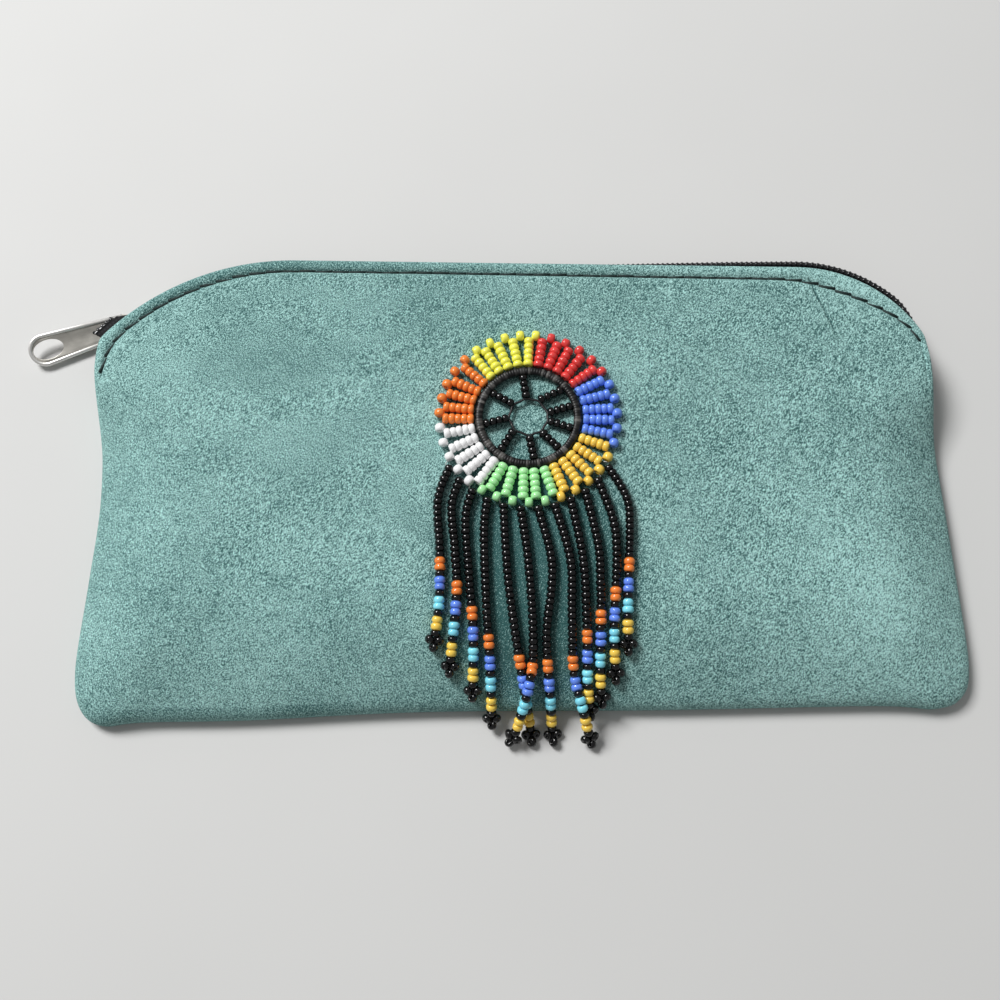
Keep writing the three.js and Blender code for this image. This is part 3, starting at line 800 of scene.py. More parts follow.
class Course:
    """A line that is measured along its length."""

    def __init__(self, points: list[Vector]) -> None:
        """Measures the line.

        Args:
            points: The line's points.
        """
        self.points = points
        self.lengths = [0.0]
        for first, last in zip(points, points[1:]):
            self.lengths.append(self.lengths[-1] + (last - first).length)

    def step(self, length: float) -> int:
        """Gives the number of the point that ends the step at a length."""
        ends = (i for i, so_far in enumerate(self.lengths) if so_far >= length and i)
        return next(ends, len(self.points) - 1)

    def at(self, length: float) -> Vector:
        """Gives the point at a length along the line.

        Args:
            length: The length from the start.

        Returns:
            The point.
        """
        i = self.step(length)
        share = (length - self.lengths[i - 1]) / (self.lengths[i] - self.lengths[i - 1])
        return self.points[i - 1].lerp(self.points[i], min(share, 1))


@dataclass(frozen=True)
class ZipPlace:
    """One place along the zip: the hem's edge there, and how the coil lies."""

    along: float
    at: Vector
    outward: Vector
    turned: float
    roll: float
    out: float
    height: float

    def lie(self, out: float, height: float) -> Vector:
        """Gives the point at a distance out from the hem's edge and a height over the table."""
        return self.at + self.outward * out + UP * height

    def section(self, across: float, face: float) -> Vector:
        """Gives a point of the coil's section.

        Args:
            across: How far it is towards the front hem from the coil's middle.
            face: How far it is out of the coil's outer face.

        Returns:
            The point.
        """
        out = self.out + across * math.sin(self.roll) + face * math.cos(self.roll)
        return self.lie(out, self.height + across * math.cos(self.roll) - face * math.sin(self.roll))


@dataclass(frozen=True)
class ZipEdge:
    """The zip edge: an arc over the left shoulder, the straight top and an arc over the right shoulder."""

    left_centre: Plan = (-0.055, -0.0045)
    left_radius: float = 0.0576
    left_end: float = math.radians(140)
    right_centre: Plan = (0.066, 0.0196)
    right_radius: float = 0.0317
    right_end: float = math.radians(25.5)
    roll_left: float = math.radians(50)
    roll_right: float = math.radians(10)
    turn_start: float = 0.006
    turn_end: float = 0.140
    coil_out: float = -0.0008
    coil_out_right: float = 0.0027
    coil_height: float = 0.004236
    coil_height_right: float = 0.005750
    end_bulge: float = 0.0036
    end_lift: float = 0.0018
    end_start: float = 0.0055
    end_length: float = 0.0095
    tuck: float = 0.002
    tuck_length: float = 0.012
    back_inset: float = 5.2 * MM
    back_inset_right: float = 1.2 * MM

    @property
    def apart(self) -> Vector:
        """The way from the middle of the left shoulder's arc to the middle of the right one's."""
        return Vector(self.right_centre) - Vector(self.left_centre)

    @property
    def top_angle(self) -> float:
        """The direction out of the straight top."""
        lean = math.acos((self.left_radius - self.right_radius) / self.apart.length)
        return math.atan2(self.apart.y, self.apart.x) + lean

    @property
    def left_arc(self) -> float:
        """The length of the left shoulder."""
        return self.left_radius * (self.left_end - self.top_angle)

    @property
    def straight(self) -> float:
        """The length of the straight top."""
        return math.sqrt(self.apart.length_squared - (self.left_radius - self.right_radius) ** 2)

    @property
    def length(self) -> float:
        """The whole length of the zip edge."""
        return self.left_arc + self.straight + self.right_radius * (self.top_angle - self.right_end)

    def inset(self, turned: float) -> float:
        """Gives how far inside the front hem the back one is."""
        return mix(self.back_inset, self.back_inset_right, turned)

    def angle(self, along: float) -> float:
        """Gives the direction out of the edge.

        Args:
            along: The length from the left end.

        Returns:
            The angle from +X.
        """
        if along < self.left_arc:
            return self.left_end - along / self.left_radius
        past = max(along - self.left_arc - self.straight, 0)
        return self.top_angle - past / self.right_radius

    def place(self, along: float) -> ZipPlace:
        """Gives the place at a length along the edge.

        Args:
            along: The length from the left end.

        Returns:
            The place.
        """
        angle = self.angle(along)
        outward = Vector((math.cos(angle), math.sin(angle), 0))
        run = along - self.left_arc
        if run <= self.straight:
            at = Vector((*self.left_centre, 0)) + outward * self.left_radius
            at += Vector((outward.y, -outward.x, 0)) * max(run, 0)
        else:
            at = Vector((*self.right_centre, 0)) + outward * self.right_radius
        turned = ease(run, self.turn_start, self.turn_end)
        curl = 1 - ease(along, self.end_start, self.end_length)
        tuck = self.tuck * ease(along, self.length - self.tuck_length, self.length)
        return ZipPlace(
            along=along,
            at=at,
            outward=outward,
            turned=turned,
            roll=mix(self.roll_left, self.roll_right, turned),
            out=mix(self.coil_out, self.coil_out_right, turned) + self.end_bulge * curl - tuck,
            height=mix(self.coil_height, self.coil_height_right, turned) + self.end_lift * curl,
        )


ZIP = ZipEdge()


@dataclass(frozen=True)
class EdgePoint:
    """A point of the purse's outline."""

    at: Vector
    inward: Vector
    zip: float
    side: float
    turned: float
    past: float

    MIDDLE = 0.55
    MIDDLE_STEP = 1.4 * MM
    MIDDLE_STEPS = 35

    @property
    def middle(self) -> Vector:
        """The point of the middle line that it moves in towards, in an even row; a side shares one."""
        step = round(self.at.x * self.MIDDLE / self.MIDDLE_STEP)
        return Vector((max(-self.MIDDLE_STEPS, min(self.MIDDLE_STEPS, step)) * self.MIDDLE_STEP, 0, 0))

    def share(self, depth: float) -> float:
        """Gives the share of the way in at which a point is that deep inside the edge."""
        return depth / (self.middle - self.at).dot(self.inward)

    def inside(self, share: float, height: float) -> Vector:
        """Gives the point a share of the way in, at a height."""
        return self.at.lerp(self.middle, share) + UP * height


@dataclass(frozen=True)
class Outline:
    """The purse's outline, from the right end of the zip round the bottom and back along the zip."""

    half_width: float = 0.098
    half_height: float = 0.0525
    hem_run_on: float = 0.0045
    seam_drop: float = 0.024
    side_start: float = 0.005
    side_full: float = 0.014
    spacing: float = 0.002
    sewn: tuple[Plan, ...] = (
        (0.98, 0.4), (0.992, 0.095), (1.004, -0.4), (1.01, -0.82), (0.985, -0.952), (0.929, -0.996),
        (0.796, -0.983), (0.306, -1), (-0.224, -1.008), (-0.612, -1.042), (-0.857, -1.051),
        (-0.944, -1.067), (-0.992, -1), (-1.012, -0.838), (-1.003, -0.457), (-0.996, -0.114),
        (-1.01, 0.267), (-1.016, 0.495),
    )

    def sewn_edge(self) -> list[Vector]:
        """Draws the sewn edge.

        Returns:
            Its points, without the two ends.
        """
        inner = [Vector((x * self.half_width, y * self.half_height, 0)) for x, y in self.sewn]
        ends = [ZIP.place(ZIP.length).at, ZIP.place(0).at]
        return smooth_line([ends[0], *inner, ends[1]], self.spacing)[1:-1]

    def points(self) -> list[EdgePoint]:
        """Joins the sewn edge and the zip edge.

        Returns:
            The whole outline.
        """
        sewn = self.sewn_edge()
        steps = round(ZIP.length / self.spacing)
        places = [ZIP.place(ZIP.length * i / steps) for i in range(steps + 1)]
        tips = (places[0].at, places[-1].at)
        rough = []
        for at in sewn:
            near = min((at - tip).length for tip in tips)
            high = 1 - ease(near, self.hem_run_on, self.hem_run_on + self.seam_drop)
            rough.append((at, high, ease(near, self.side_start, self.side_full), float(at.x > 0), near))
        rough += [(place.at, 1.0, 0.0, place.turned, 0.0) for place in places]
        outline = []
        for i, (at, *rest) in enumerate(rough):
            run = (rough[(i + 1) % len(rough)][0] - rough[i - 1][0]).normalized()
            outline.append(EdgePoint(at, Vector((run.y, -run.x, 0)), *rest))
        return outline


def smooth_line(knots: Sequence[Vector], spacing: float) -> list[Vector]:
    """Draws a smooth line through knots.

    Args:
        knots: The points that it passes.
        spacing: About how far apart the line's points are.

    Returns:
        The line's points, with both ends.
    """
    line = [knots[0]]
    for i in range(len(knots) - 1):
        before, first = knots[max(i - 1, 0)], knots[i]
        last, after = knots[i + 1], knots[min(i + 2, len(knots) - 1)]
        count = max(round((last - first).length / spacing), 1) + 1
        leave, arrive = first + (last - before) / 6, last - (after - first) / 6
        line += interpolate_bezier(first, leave, arrive, last, count)[1:]
    return line


class Skin:
    """A skin that grows ring by ring, welded where its first and last rings fold onto a line."""

    def __init__(self, places: Sequence[Vector]) -> None:
        """Starts with a ring.

        Args:
            places: The ring's points.
        """
        self.bm = bmesh.new()
        self.tone = self.bm.verts.layers.float.new(TONE)
        self.ring = bmesh.ops.create_circle(self.bm, segments=len(places), radius=1)["verts"]
        self._move(places)

    def _move(self, places: Sequence[Vector]) -> None:
        """Moves the newest ring to its places."""
        for vert, place in zip(self.ring, places):
            vert.co = place

    def grow(self, places: Sequence[Vector]) -> None:
        """Extrudes the newest ring to new places."""
        self.ring = extruded(self.bm, self.ring, True)
        self._move(places)

    def shade(self, tones: Sequence[float]) -> None:
        """Gives the newest ring its tones."""
        for vert, tone in zip(self.ring, tones):
            vert[self.tone] = tone

    def finished(self) -> bmesh.types.BMesh:
        """Welds the skin and turns its faces outwards.

        Returns:
            The skin.
        """
        bmesh.ops.remove_doubles(self.bm, verts=self.bm.verts, dist=WELD)
        bmesh.ops.recalc_face_normals(self.bm, faces=self.bm.faces)
        return self.bm


@dataclass(frozen=True)
class Lip:
    """A ring near a panel's edge: how deep inside the edge it is and its height, at the seam and at the hem.

    At the seam its height is a share of the way from the seam up to the face, and a lift over that.
    """

    seam_depth: float
    seam_lift: float
    hem_depth: float
    hem_lift: float
    seam_share: float = 1.0


@dataclass
class SuedePanels:
    """The front and back panels, with a turned hem along the zip and a seam round the rest."""

    outline: list[EdgePoint]
    suede: float = 1.2 * MM
    seam_top: float = 2.7 * MM
    seam_low: float = 1.5 * MM
    hem_top: float = 11.501 * MM
    plateau: float = 0.55
    belly_curve: float = 2.2
    hem_wide_left: float = 1.35
    hem_wide_right: float = 1.5
    hem_end: float = 0.45
    hem_end_length: float = 26 * MM
    hem_swell: float = 0.55
    hem_swell_span: tuple[float, float, float] = (12 * MM, 18 * MM, 36 * MM)
    hem_out: float = 0.75
    hem_out_length: float = 12 * MM
    wave_size: float = 34 * MM
    wave_height: float = 0.28 * MM
    crease: tuple[Plan, Plan] = ((0.0710, 0.0470), (0.0768, 0.0315))
    crease_depth: float = 0.55 * MM
    crease_width: float = 3.0 * MM
    belly_top: float = field(default_factory=lambda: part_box("front_panel")[1].z)

    # Millimetres, from the inside of the front panel round its edge and up to its face.
    FRONT_LIPS = (
        Lip(6.6, -0.6, 6.6, -1.2), Lip(6.2, -0.6, 6.2, -2.1), Lip(1.1, -0.3, 1.1, -2.1),
        Lip(0.5, -0.15, 0.3, -1.9, 0), Lip(0.15, 0, 0.05, -1.45, 0.02), Lip(0, 0, 0, -1.0, 0.4),
        Lip(0, 0, 0.08, -0.5, 0.9), Lip(0.25, 0.42, 0.4, -0.08), Lip(0.7, 0.8, 0.9, 0.12),
        Lip(1.3, 0.95, 1.45, 0.14), Lip(1.9, 1.0, 2.0, -0.18), Lip(2.3, 0.97, 2.35, -0.95),
        Lip(2.7, 0.95, 2.65, -0.2), Lip(3.3, 0.9, 3.15, 0.08), Lip(4.2, 0.85, 4.2, 0.05),
        Lip(6.2, 0.7, 6.2, 0), Lip(9, 0.5, 9, 0),
    )
    # Millimetres, from the outside of the back panel round its edge and over its inside.
    BACK_LIPS = (
        Lip(9, 0, 9, 0), Lip(4.2, 0, 4.2, 0), Lip(2.7, 0, 2.7, 0.05), Lip(2.3, 0, 2.35, 0.45),
        Lip(1.9, 0, 1.95, 0.05), Lip(1.0, 0.02, 1.0, 0.04), Lip(0.35, 0.12, 0.35, 0.25),
        Lip(0.06, 0.4, 0.05, 0.65), Lip(0, 0.7, 0, 1.05), Lip(0.1, 1.05, 0.08, 1.5),
        Lip(0.5, 1.28, 0.4, 1.95), Lip(1.1, 1.3, 1.1, 2.1), Lip(6.2, 1.2, 6.2, 2.1), Lip(6.6, 1.2, 6.6, 1.2),
    )
    WHOLE_HEM = 3.2
    RELAXED = 2.0
    HEM_BAND = range(7, 12)
    # The hem band is painted darker over the left shoulder, as shade, and paler over the right one.
    HEM_SHADE_LEFT = -0.2
    HEM_PALE_RIGHT = 0.15
    HEM_LEFT = (-0.100, -0.088, -0.055, -0.010)
    HEM_RIGHT = (0, 0.05)
    STEEP_LIFT = -1.0
    WAVES_START = (0.02, 0.2)
    WAVE_SQUASH = 1.4
    WAVE_LAYER = 0.004
    SEAM_FADE = (0.12, 0.5)
    FACE_START = 0.23
    FACE_RINGS = 24
    INSIDE_SHARES = (0.80, 0.60, 0.42, 0.28)

    def face(self, edge: EdgePoint, share: float) -> float:
        """Gives the height of the front's plain face.

        Args:
            edge: A point of the outline.
            share: The share of the way in from it.

        Returns:
            The height over the table.
        """
        rim = mix(self.seam_top, self.hem_top, edge.zip)
        rise = 1 - (1 - min(share / self.plateau, 1)) ** self.belly_curve
        return mix(rim, self.belly_top, rise)

    def waves(self, at: Vector) -> float:
        """Gives how far the lying suede waves up and down, the crease among it.

        Args:
            at: A point of the face.

        Returns:
            The height over the plain face.
        """
        layer = Vector((at.x, at.y * self.WAVE_SQUASH, self.WAVE_LAYER))
        wave = noise.noise(layer / self.wave_size) * self.wave_height
        first, last = (Vector(end) for end in self.crease)
        run = last - first
        share = min(max((at.xy - first).dot(run) / run.length_squared, 0), 1)
        away = (at.xy - first - run * share).length
        return wave - self.crease_depth * math.exp(-((away / self.crease_width) ** 2))

    def waved(self, at: Vector, share: float) -> Vector:
        """Lifts a point of the face by the waves, which start a little inside the edge."""
        return at + UP * self.waves(at) * ease(share, *self.WAVES_START)

    def hem_width(self, edge: EdgePoint) -> float:
        """Gives how wide the hem is, which swells over the right shoulder and runs out at both ends.

        Args:
            edge: A point of the outline.

        Returns:
            The hem's width as a share of the plain one.
        """
        to_end = (edge.at - ZIP.place(ZIP.length).at).length
        end = mix(self.hem_end, 1, ease(to_end, 0, self.hem_end_length))
        full, wane, gone = self.hem_swell_span
        if not edge.past:
            end *= 1 + self.hem_swell * ease(to_end, 0, full) * (1 - ease(to_end, wane, gone))
        end *= 1 - self.hem_out * ease(edge.past, 0, self.hem_out_length)
        return mix(self.hem_wide_left, self.hem_wide_right, edge.turned) * end

    def lip_share(self, edge: EdgePoint, lip: Lip) -> float:
        """Gives the share of the way in of a ring near the edge."""
        hem_depth = lip.hem_depth + (self.hem_width(edge) - 1) * min(lip.hem_depth, self.WHOLE_HEM)
        return edge.share(mix(hem_depth, lip.seam_depth, edge.side) * MM)

    def hem_painted_shade(self, edge: EdgePoint) -> float:
        """Gives the hem's painted tone: painted shade over the left shoulder, and paler over the right one.

        Args:
            edge: A point of the outline.

        Returns:
            The tone that the hem adds there.
        """
        left = ease(edge.at.x, *self.HEM_LEFT[:2]) * (1 - ease(edge.at.x, *self.HEM_LEFT[2:]))
        right = ease(edge.at.x, *self.HEM_RIGHT) * (1 - ease(edge.past, 0, self.hem_out_length / 2))
        return self.HEM_SHADE_LEFT * left + self.HEM_PALE_RIGHT * right

    def front_place(self, edge: EdgePoint, lip: Lip) -> Vector:
        """Gives a point of one ring near the front panel's edge.

        Args:
            edge: A point of the outline.
            lip: The ring.

        Returns:
            The point.
        """
        share = self.lip_share(edge, lip)
        face = self.face(edge, share)
        seam = mix(self.seam_low, face, lip.seam_share) + lip.seam_lift * MM
        shrunk = min(self.hem_width(edge), 1) if lip.hem_lift > self.STEEP_LIFT else 1
        lift = lip.hem_lift * shrunk * MM
        return self.waved(edge.inside(share, mix(face + lift, seam, edge.side)), share)

    def front_ring(self, lip: Lip) -> list[Vector]:
        """Gives the places of one ring near the front panel's edge, rounder the deeper it is.

        Args:
            lip: The ring.

        Returns:
            The places.
        """
        ring = [self.front_place(edge, lip) for edge in self.outline]
        for _ in range(round(lip.hem_depth * self.RELAXED)):
            neighbours = zip(ring[-1:] + ring, ring, ring[1:] + ring[:1])
            ring = [(before + 2 * at + after) / 4 for before, at, after in neighbours]
        return ring

    def front_inner(self, share: float, under: float) -> list[Vector]:
        """Gives the places of one ring of the front panel away from its edge.

        Args:
            share: The share of the way in.
            under: How far it is under the face.

        Returns:
            The places.
        """
        lift = self.FRONT_LIPS[-1].seam_lift * MM * (1 - ease(share, *self.SEAM_FADE))
        ring = []
        for edge in self.outline:
            at = edge.inside(share, self.face(edge, share) + lift * edge.side - under)
            ring.append(self.waved(at, share))
        return ring

    def build_front(self) -> tuple[bpy.types.Object, BVHTree]:
        """Makes the front panel.

        Returns:
            The panel, and its surface for what lies on it.
        """
        skin = Skin(self.front_inner(1, self.suede))
        for share in self.INSIDE_SHARES:
            skin.grow(self.front_inner(share, self.suede))
        for i, lip in enumerate(self.FRONT_LIPS):
            skin.grow(self.front_ring(lip))
            # The hem band carries its painted shade.
            skin.shade([self.hem_painted_shade(edge) if i in self.HEM_BAND else 0.0 for edge in self.outline])
        for i in range(self.FACE_RINGS):
            skin.grow(self.front_inner(mix(self.FACE_START, 1, i / (self.FACE_RINGS - 1)), 0))
        bm = skin.finished()
        surface = BVHTree.FromBMesh(bm)
        piece = Piece("suede_front", "suede", [SUEDE], stands_for=("front_panel",))
        return smoothed(piece.from_bmesh(bm)), surface

    def back_ring(self, lip: Lip) -> list[Vector]:
        """Gives the places of one ring near the back panel's edge.

        Args:
            lip: The ring.

        Returns:
            The places.
        """
        ring = []
        for edge in self.outline:
            inset = (1 - edge.side) * ZIP.inset(edge.turned)
            share = self.lip_share(edge, lip) + edge.share(inset)
            ring.append(edge.inside(share, mix(lip.hem_lift, lip.seam_lift, edge.side) * MM))
        return ring

    def build_back(self) -> bpy.types.Object:
        """Makes the back panel, flat on the table.

        Returns:
            The panel.
        """
        skin = Skin([edge.inside(1, 0) for edge in self.outline])
        for share in self.INSIDE_SHARES:
            skin.grow([edge.inside(share, 0) for edge in self.outline])
        for lip in self.BACK_LIPS:
            skin.grow(self.back_ring(lip))
        for share in reversed((1, *self.INSIDE_SHARES)):
            skin.grow([edge.inside(share, self.suede) for edge in self.outline])
        piece = Piece("suede_back", "suede", [SUEDE], stands_for=("back_panel",))
        return smoothed(piece.from_bmesh(skin.finished()))


def smoothed(made: bpy.types.Object) -> bpy.types.Object:
    """Adds one level of subdivision to a piece.

    Args:
        made: The piece's object.

    Returns:
        The same object.
    """
    rounding = made.modifiers.new("rounding", "SUBSURF")
    rounding.levels = rounding.render_levels = 1
    return made


@dataclass
class Topstitching:
    """The stitches in the grooves that hold the hems to the zip tapes."""

    panels: SuedePanels
    pitch: float = 4.0 * MM
    length: float = 3.85 * MM
    thickness: float = 0.74 * MM
    slant: float = math.radians(11)
    slant_play: float = math.radians(3)
    side_play: float = 0.1 * MM
    seed: int = 5
    past_left: float = 9.5 * MM
    past_right: float = 4 * MM
    above_groove: float = 0.36 * MM
    # Millimetres.
    under_groove: float = 0.1
    sides: int = 8
    groove: int = 11
    back_groove: int = 3

    def row(self, name: str, groove: list[Vector]) -> None:
        """Makes one row of stitches.

        Args:
            name: The row's name.
            groove: The points of the groove that they lie in.
        """
        bm = bmesh.new()
        play = random.Random(self.seed).uniform
        course = Course(groove)
        for i in range(int(course.lengths[-1] / self.pitch)):
            along = (i + 0.5) * self.pitch
            step = course.step(along)
            run = groove[step] - groove[step - 1]
            angle = math.atan2(run.y, run.x)
            angle += max(-self.slant, min(self.slant, -angle)) + play(-self.slant_play, self.slant_play)
            lean = Matrix.Rotation(angle, 4, "Z") @ Matrix.Rotation(math.pi / 2, 4, "Y")
            aside = run.cross(UP).normalized() * play(-self.side_play, self.side_play)
            bmesh.ops.create_cone(
                bm, cap_ends=True, segments=self.sides, radius1=self.thickness / 2,
                radius2=self.thickness / 2, depth=self.length,
                matrix=Matrix.Translation(course.at(along) + aside) @ lean,
            )
        Piece(name, "stitch_thread", [STITCH_THREAD]).from_bmesh(bm)

    def build(self) -> None:
        """Makes the rows on the front hem and the back hem."""
        panels = self.panels
        ring = []
        for edge, place in zip(panels.outline, panels.front_ring(panels.FRONT_LIPS[self.groove])):
            lift = self.above_groove * min(panels.hem_width(edge), 1) * (1 - edge.side)
            ring.append((edge, place + UP * lift))
        start = next(i for i, (edge, _) in enumerate(ring) if edge.at.x < 0 and edge.past < self.past_left)
        end = next(i for i, (edge, _) in enumerate(ring) if edge.past > self.past_right)
        self.row("stitches_front", [place for _, place in ring[start:] + ring[:end]])
        back = panels.back_ring(panels.BACK_LIPS[self.back_groove])
        low = [place for edge, place in zip(panels.outline, back) if edge.zip == 1 and edge.side == 0]
        self.row("stitches_back", [place - UP * self.under_groove * MM for place in low])


class ZipSide(Enum):
    """The half of the zip at the front hem and the half at the back hem."""

    FRONT = 1
    BACK = -1


@dataclass
class Zip:
    """The two halves of the coil and their tapes."""

    pitch: float = 1.2 * MM
    steps: int = 12
    wire: float = 0.42 * MM
    core: float = 0.68 * MM
    reach: float = 2.2 * MM
    half_thickness: float = 0.8 * MM
    apart: float = 0.35 * MM
    meshed: float = 0.02 * MM
    end_gap: float = 0.6 * MM
    tape_thickness: float = 0.4 * MM
    tape_behind: float = 1.3 * MM
    tape_start: float = 0.5 * MM
    under_hem: float = 5.5 * MM
    slack: float = 4.1 * MM
    run: float = 1.3 * MM
    run_start: float = 4.75 * MM
    run_on: float = 25 * MM
    bend: float = 0.6 * MM
    bend_back: float = 0.3 * MM
    front_tape_height: float = 8.90 * MM
    back_tape_height: float = 2.6 * MM
    tape_spacing: float = 2 * MM

    def places(self, count: int) -> list[ZipPlace]:
        """Gives evenly spaced places along the zip, with both ends."""
        ends = (self.end_gap, ZIP.length - self.end_gap)
        return [ZIP.place(mix(*ends, i / count)) for i in range(count + 1)]

    def coil(self, side: ZipSide) -> None:
        """Makes one half of the coil.

        Args:
            side: The half.
        """
        points = []
        turns = int((ZIP.length - 2 * self.end_gap) / self.pitch)
        for i in range(turns * self.steps):
            turn = i / self.steps
            place = ZIP.place(self.end_gap + turn * self.pitch)
            opened = ease(place.along, self.run_start, ZIP.end_length)
            closed = ease(place.along - ZIP.left_arc, 0, self.run_on)
            inner = mix(self.meshed, self.apart, opened * (1 - closed))
            middle, half = (self.reach + inner) / 2, (self.reach - inner) / 2 - self.wire
            angle = TURN * turn + (0 if side is ZipSide.FRONT else math.pi)
            across = side.value * (middle + half * math.cos(angle))
            points.append(place.section(across, (self.half_thickness - self.wire) * math.sin(angle)))
        bm = bmesh.new()
        add_curve(bm, curve_data("coil_wire", points, self.wire))
        middle = side.value * (self.reach + self.apart) / 2
        core = [place.section(middle, 0) for place in self.places(round(ZIP.length / self.tape_spacing))]
        add_curve(bm, curve_data("coil_core", core, self.core))
        name = f"coil_{side.name.lower()}"
        Piece(name, "zip_coil", [COIL], stands_for=(f"zip_{name}",)).from_bmesh(bm)

    def tape_line(self, place: ZipPlace, side: ZipSide) -> list[Vector]:
        """Gives the bent line across one tape at a place.

        Args:
            place: The place along the zip.
            side: The tape's half of the zip.

        Returns:
            The line's points, from the coil to under the hem.
        """
        before = 1 - ease(place.along, self.run_start, ZIP.end_length)
        slider_end = ZIP.left_arc + ZIP.turn_start
        after = ease(place.along, slider_end, slider_end + self.run_on)
        slack = mix(self.slack, self.run, max(before, after))
        near = place.section(side.value * self.tape_start, -self.tape_behind)
        turn = place.section(side.value * slack, -self.tape_behind)
        if side is ZipSide.FRONT:
            height = self.front_tape_height
            bend = (turn - place.at).dot(place.outward) - self.bend
            end = -self.under_hem
        else:
            height = self.back_tape_height
            bend = self.bend_back - ZIP.inset(place.turned)
            end = -ZIP.inset(place.turned) - self.under_hem
        return [near, turn, place.lie(bend, height), place.lie(end, height)]

    def tape(self, side: ZipSide) -> None:
        """Makes one tape by drawing its line along the zip.

        Args:
            side: The tape's half of the zip.
        """
        bm = bmesh.new()
        count = round((ZIP.length - 2 * self.end_gap) / self.tape_spacing)
        lines = [self.tape_line(place, side) for place in self.places(count)]
        row = [bm.verts.new(point) for point in lines[0]]
        for pair in zip(row, row[1:]):
            bm.edges.new(pair)
        for line in lines[1:]:
            row = extruded(bm, row, False)
            for vert, point in zip(row, line):
                vert.co = point
        bmesh.ops.recalc_face_normals(bm, faces=bm.faces)
        bmesh.ops.solidify(bm, geom=bm.faces[:], thickness=self.tape_thickness / 2)
        name = f"tape_{side.name.lower()}"
        Piece(name, "zip_tape", [TAPE], stands_for=(f"zip_{name}",)).from_bmesh(bm)

    def build(self) -> None:
        """Makes both halves of the coil and both tapes."""
        for side in ZipSide:
            self.coil(side)
            self.tape(side)


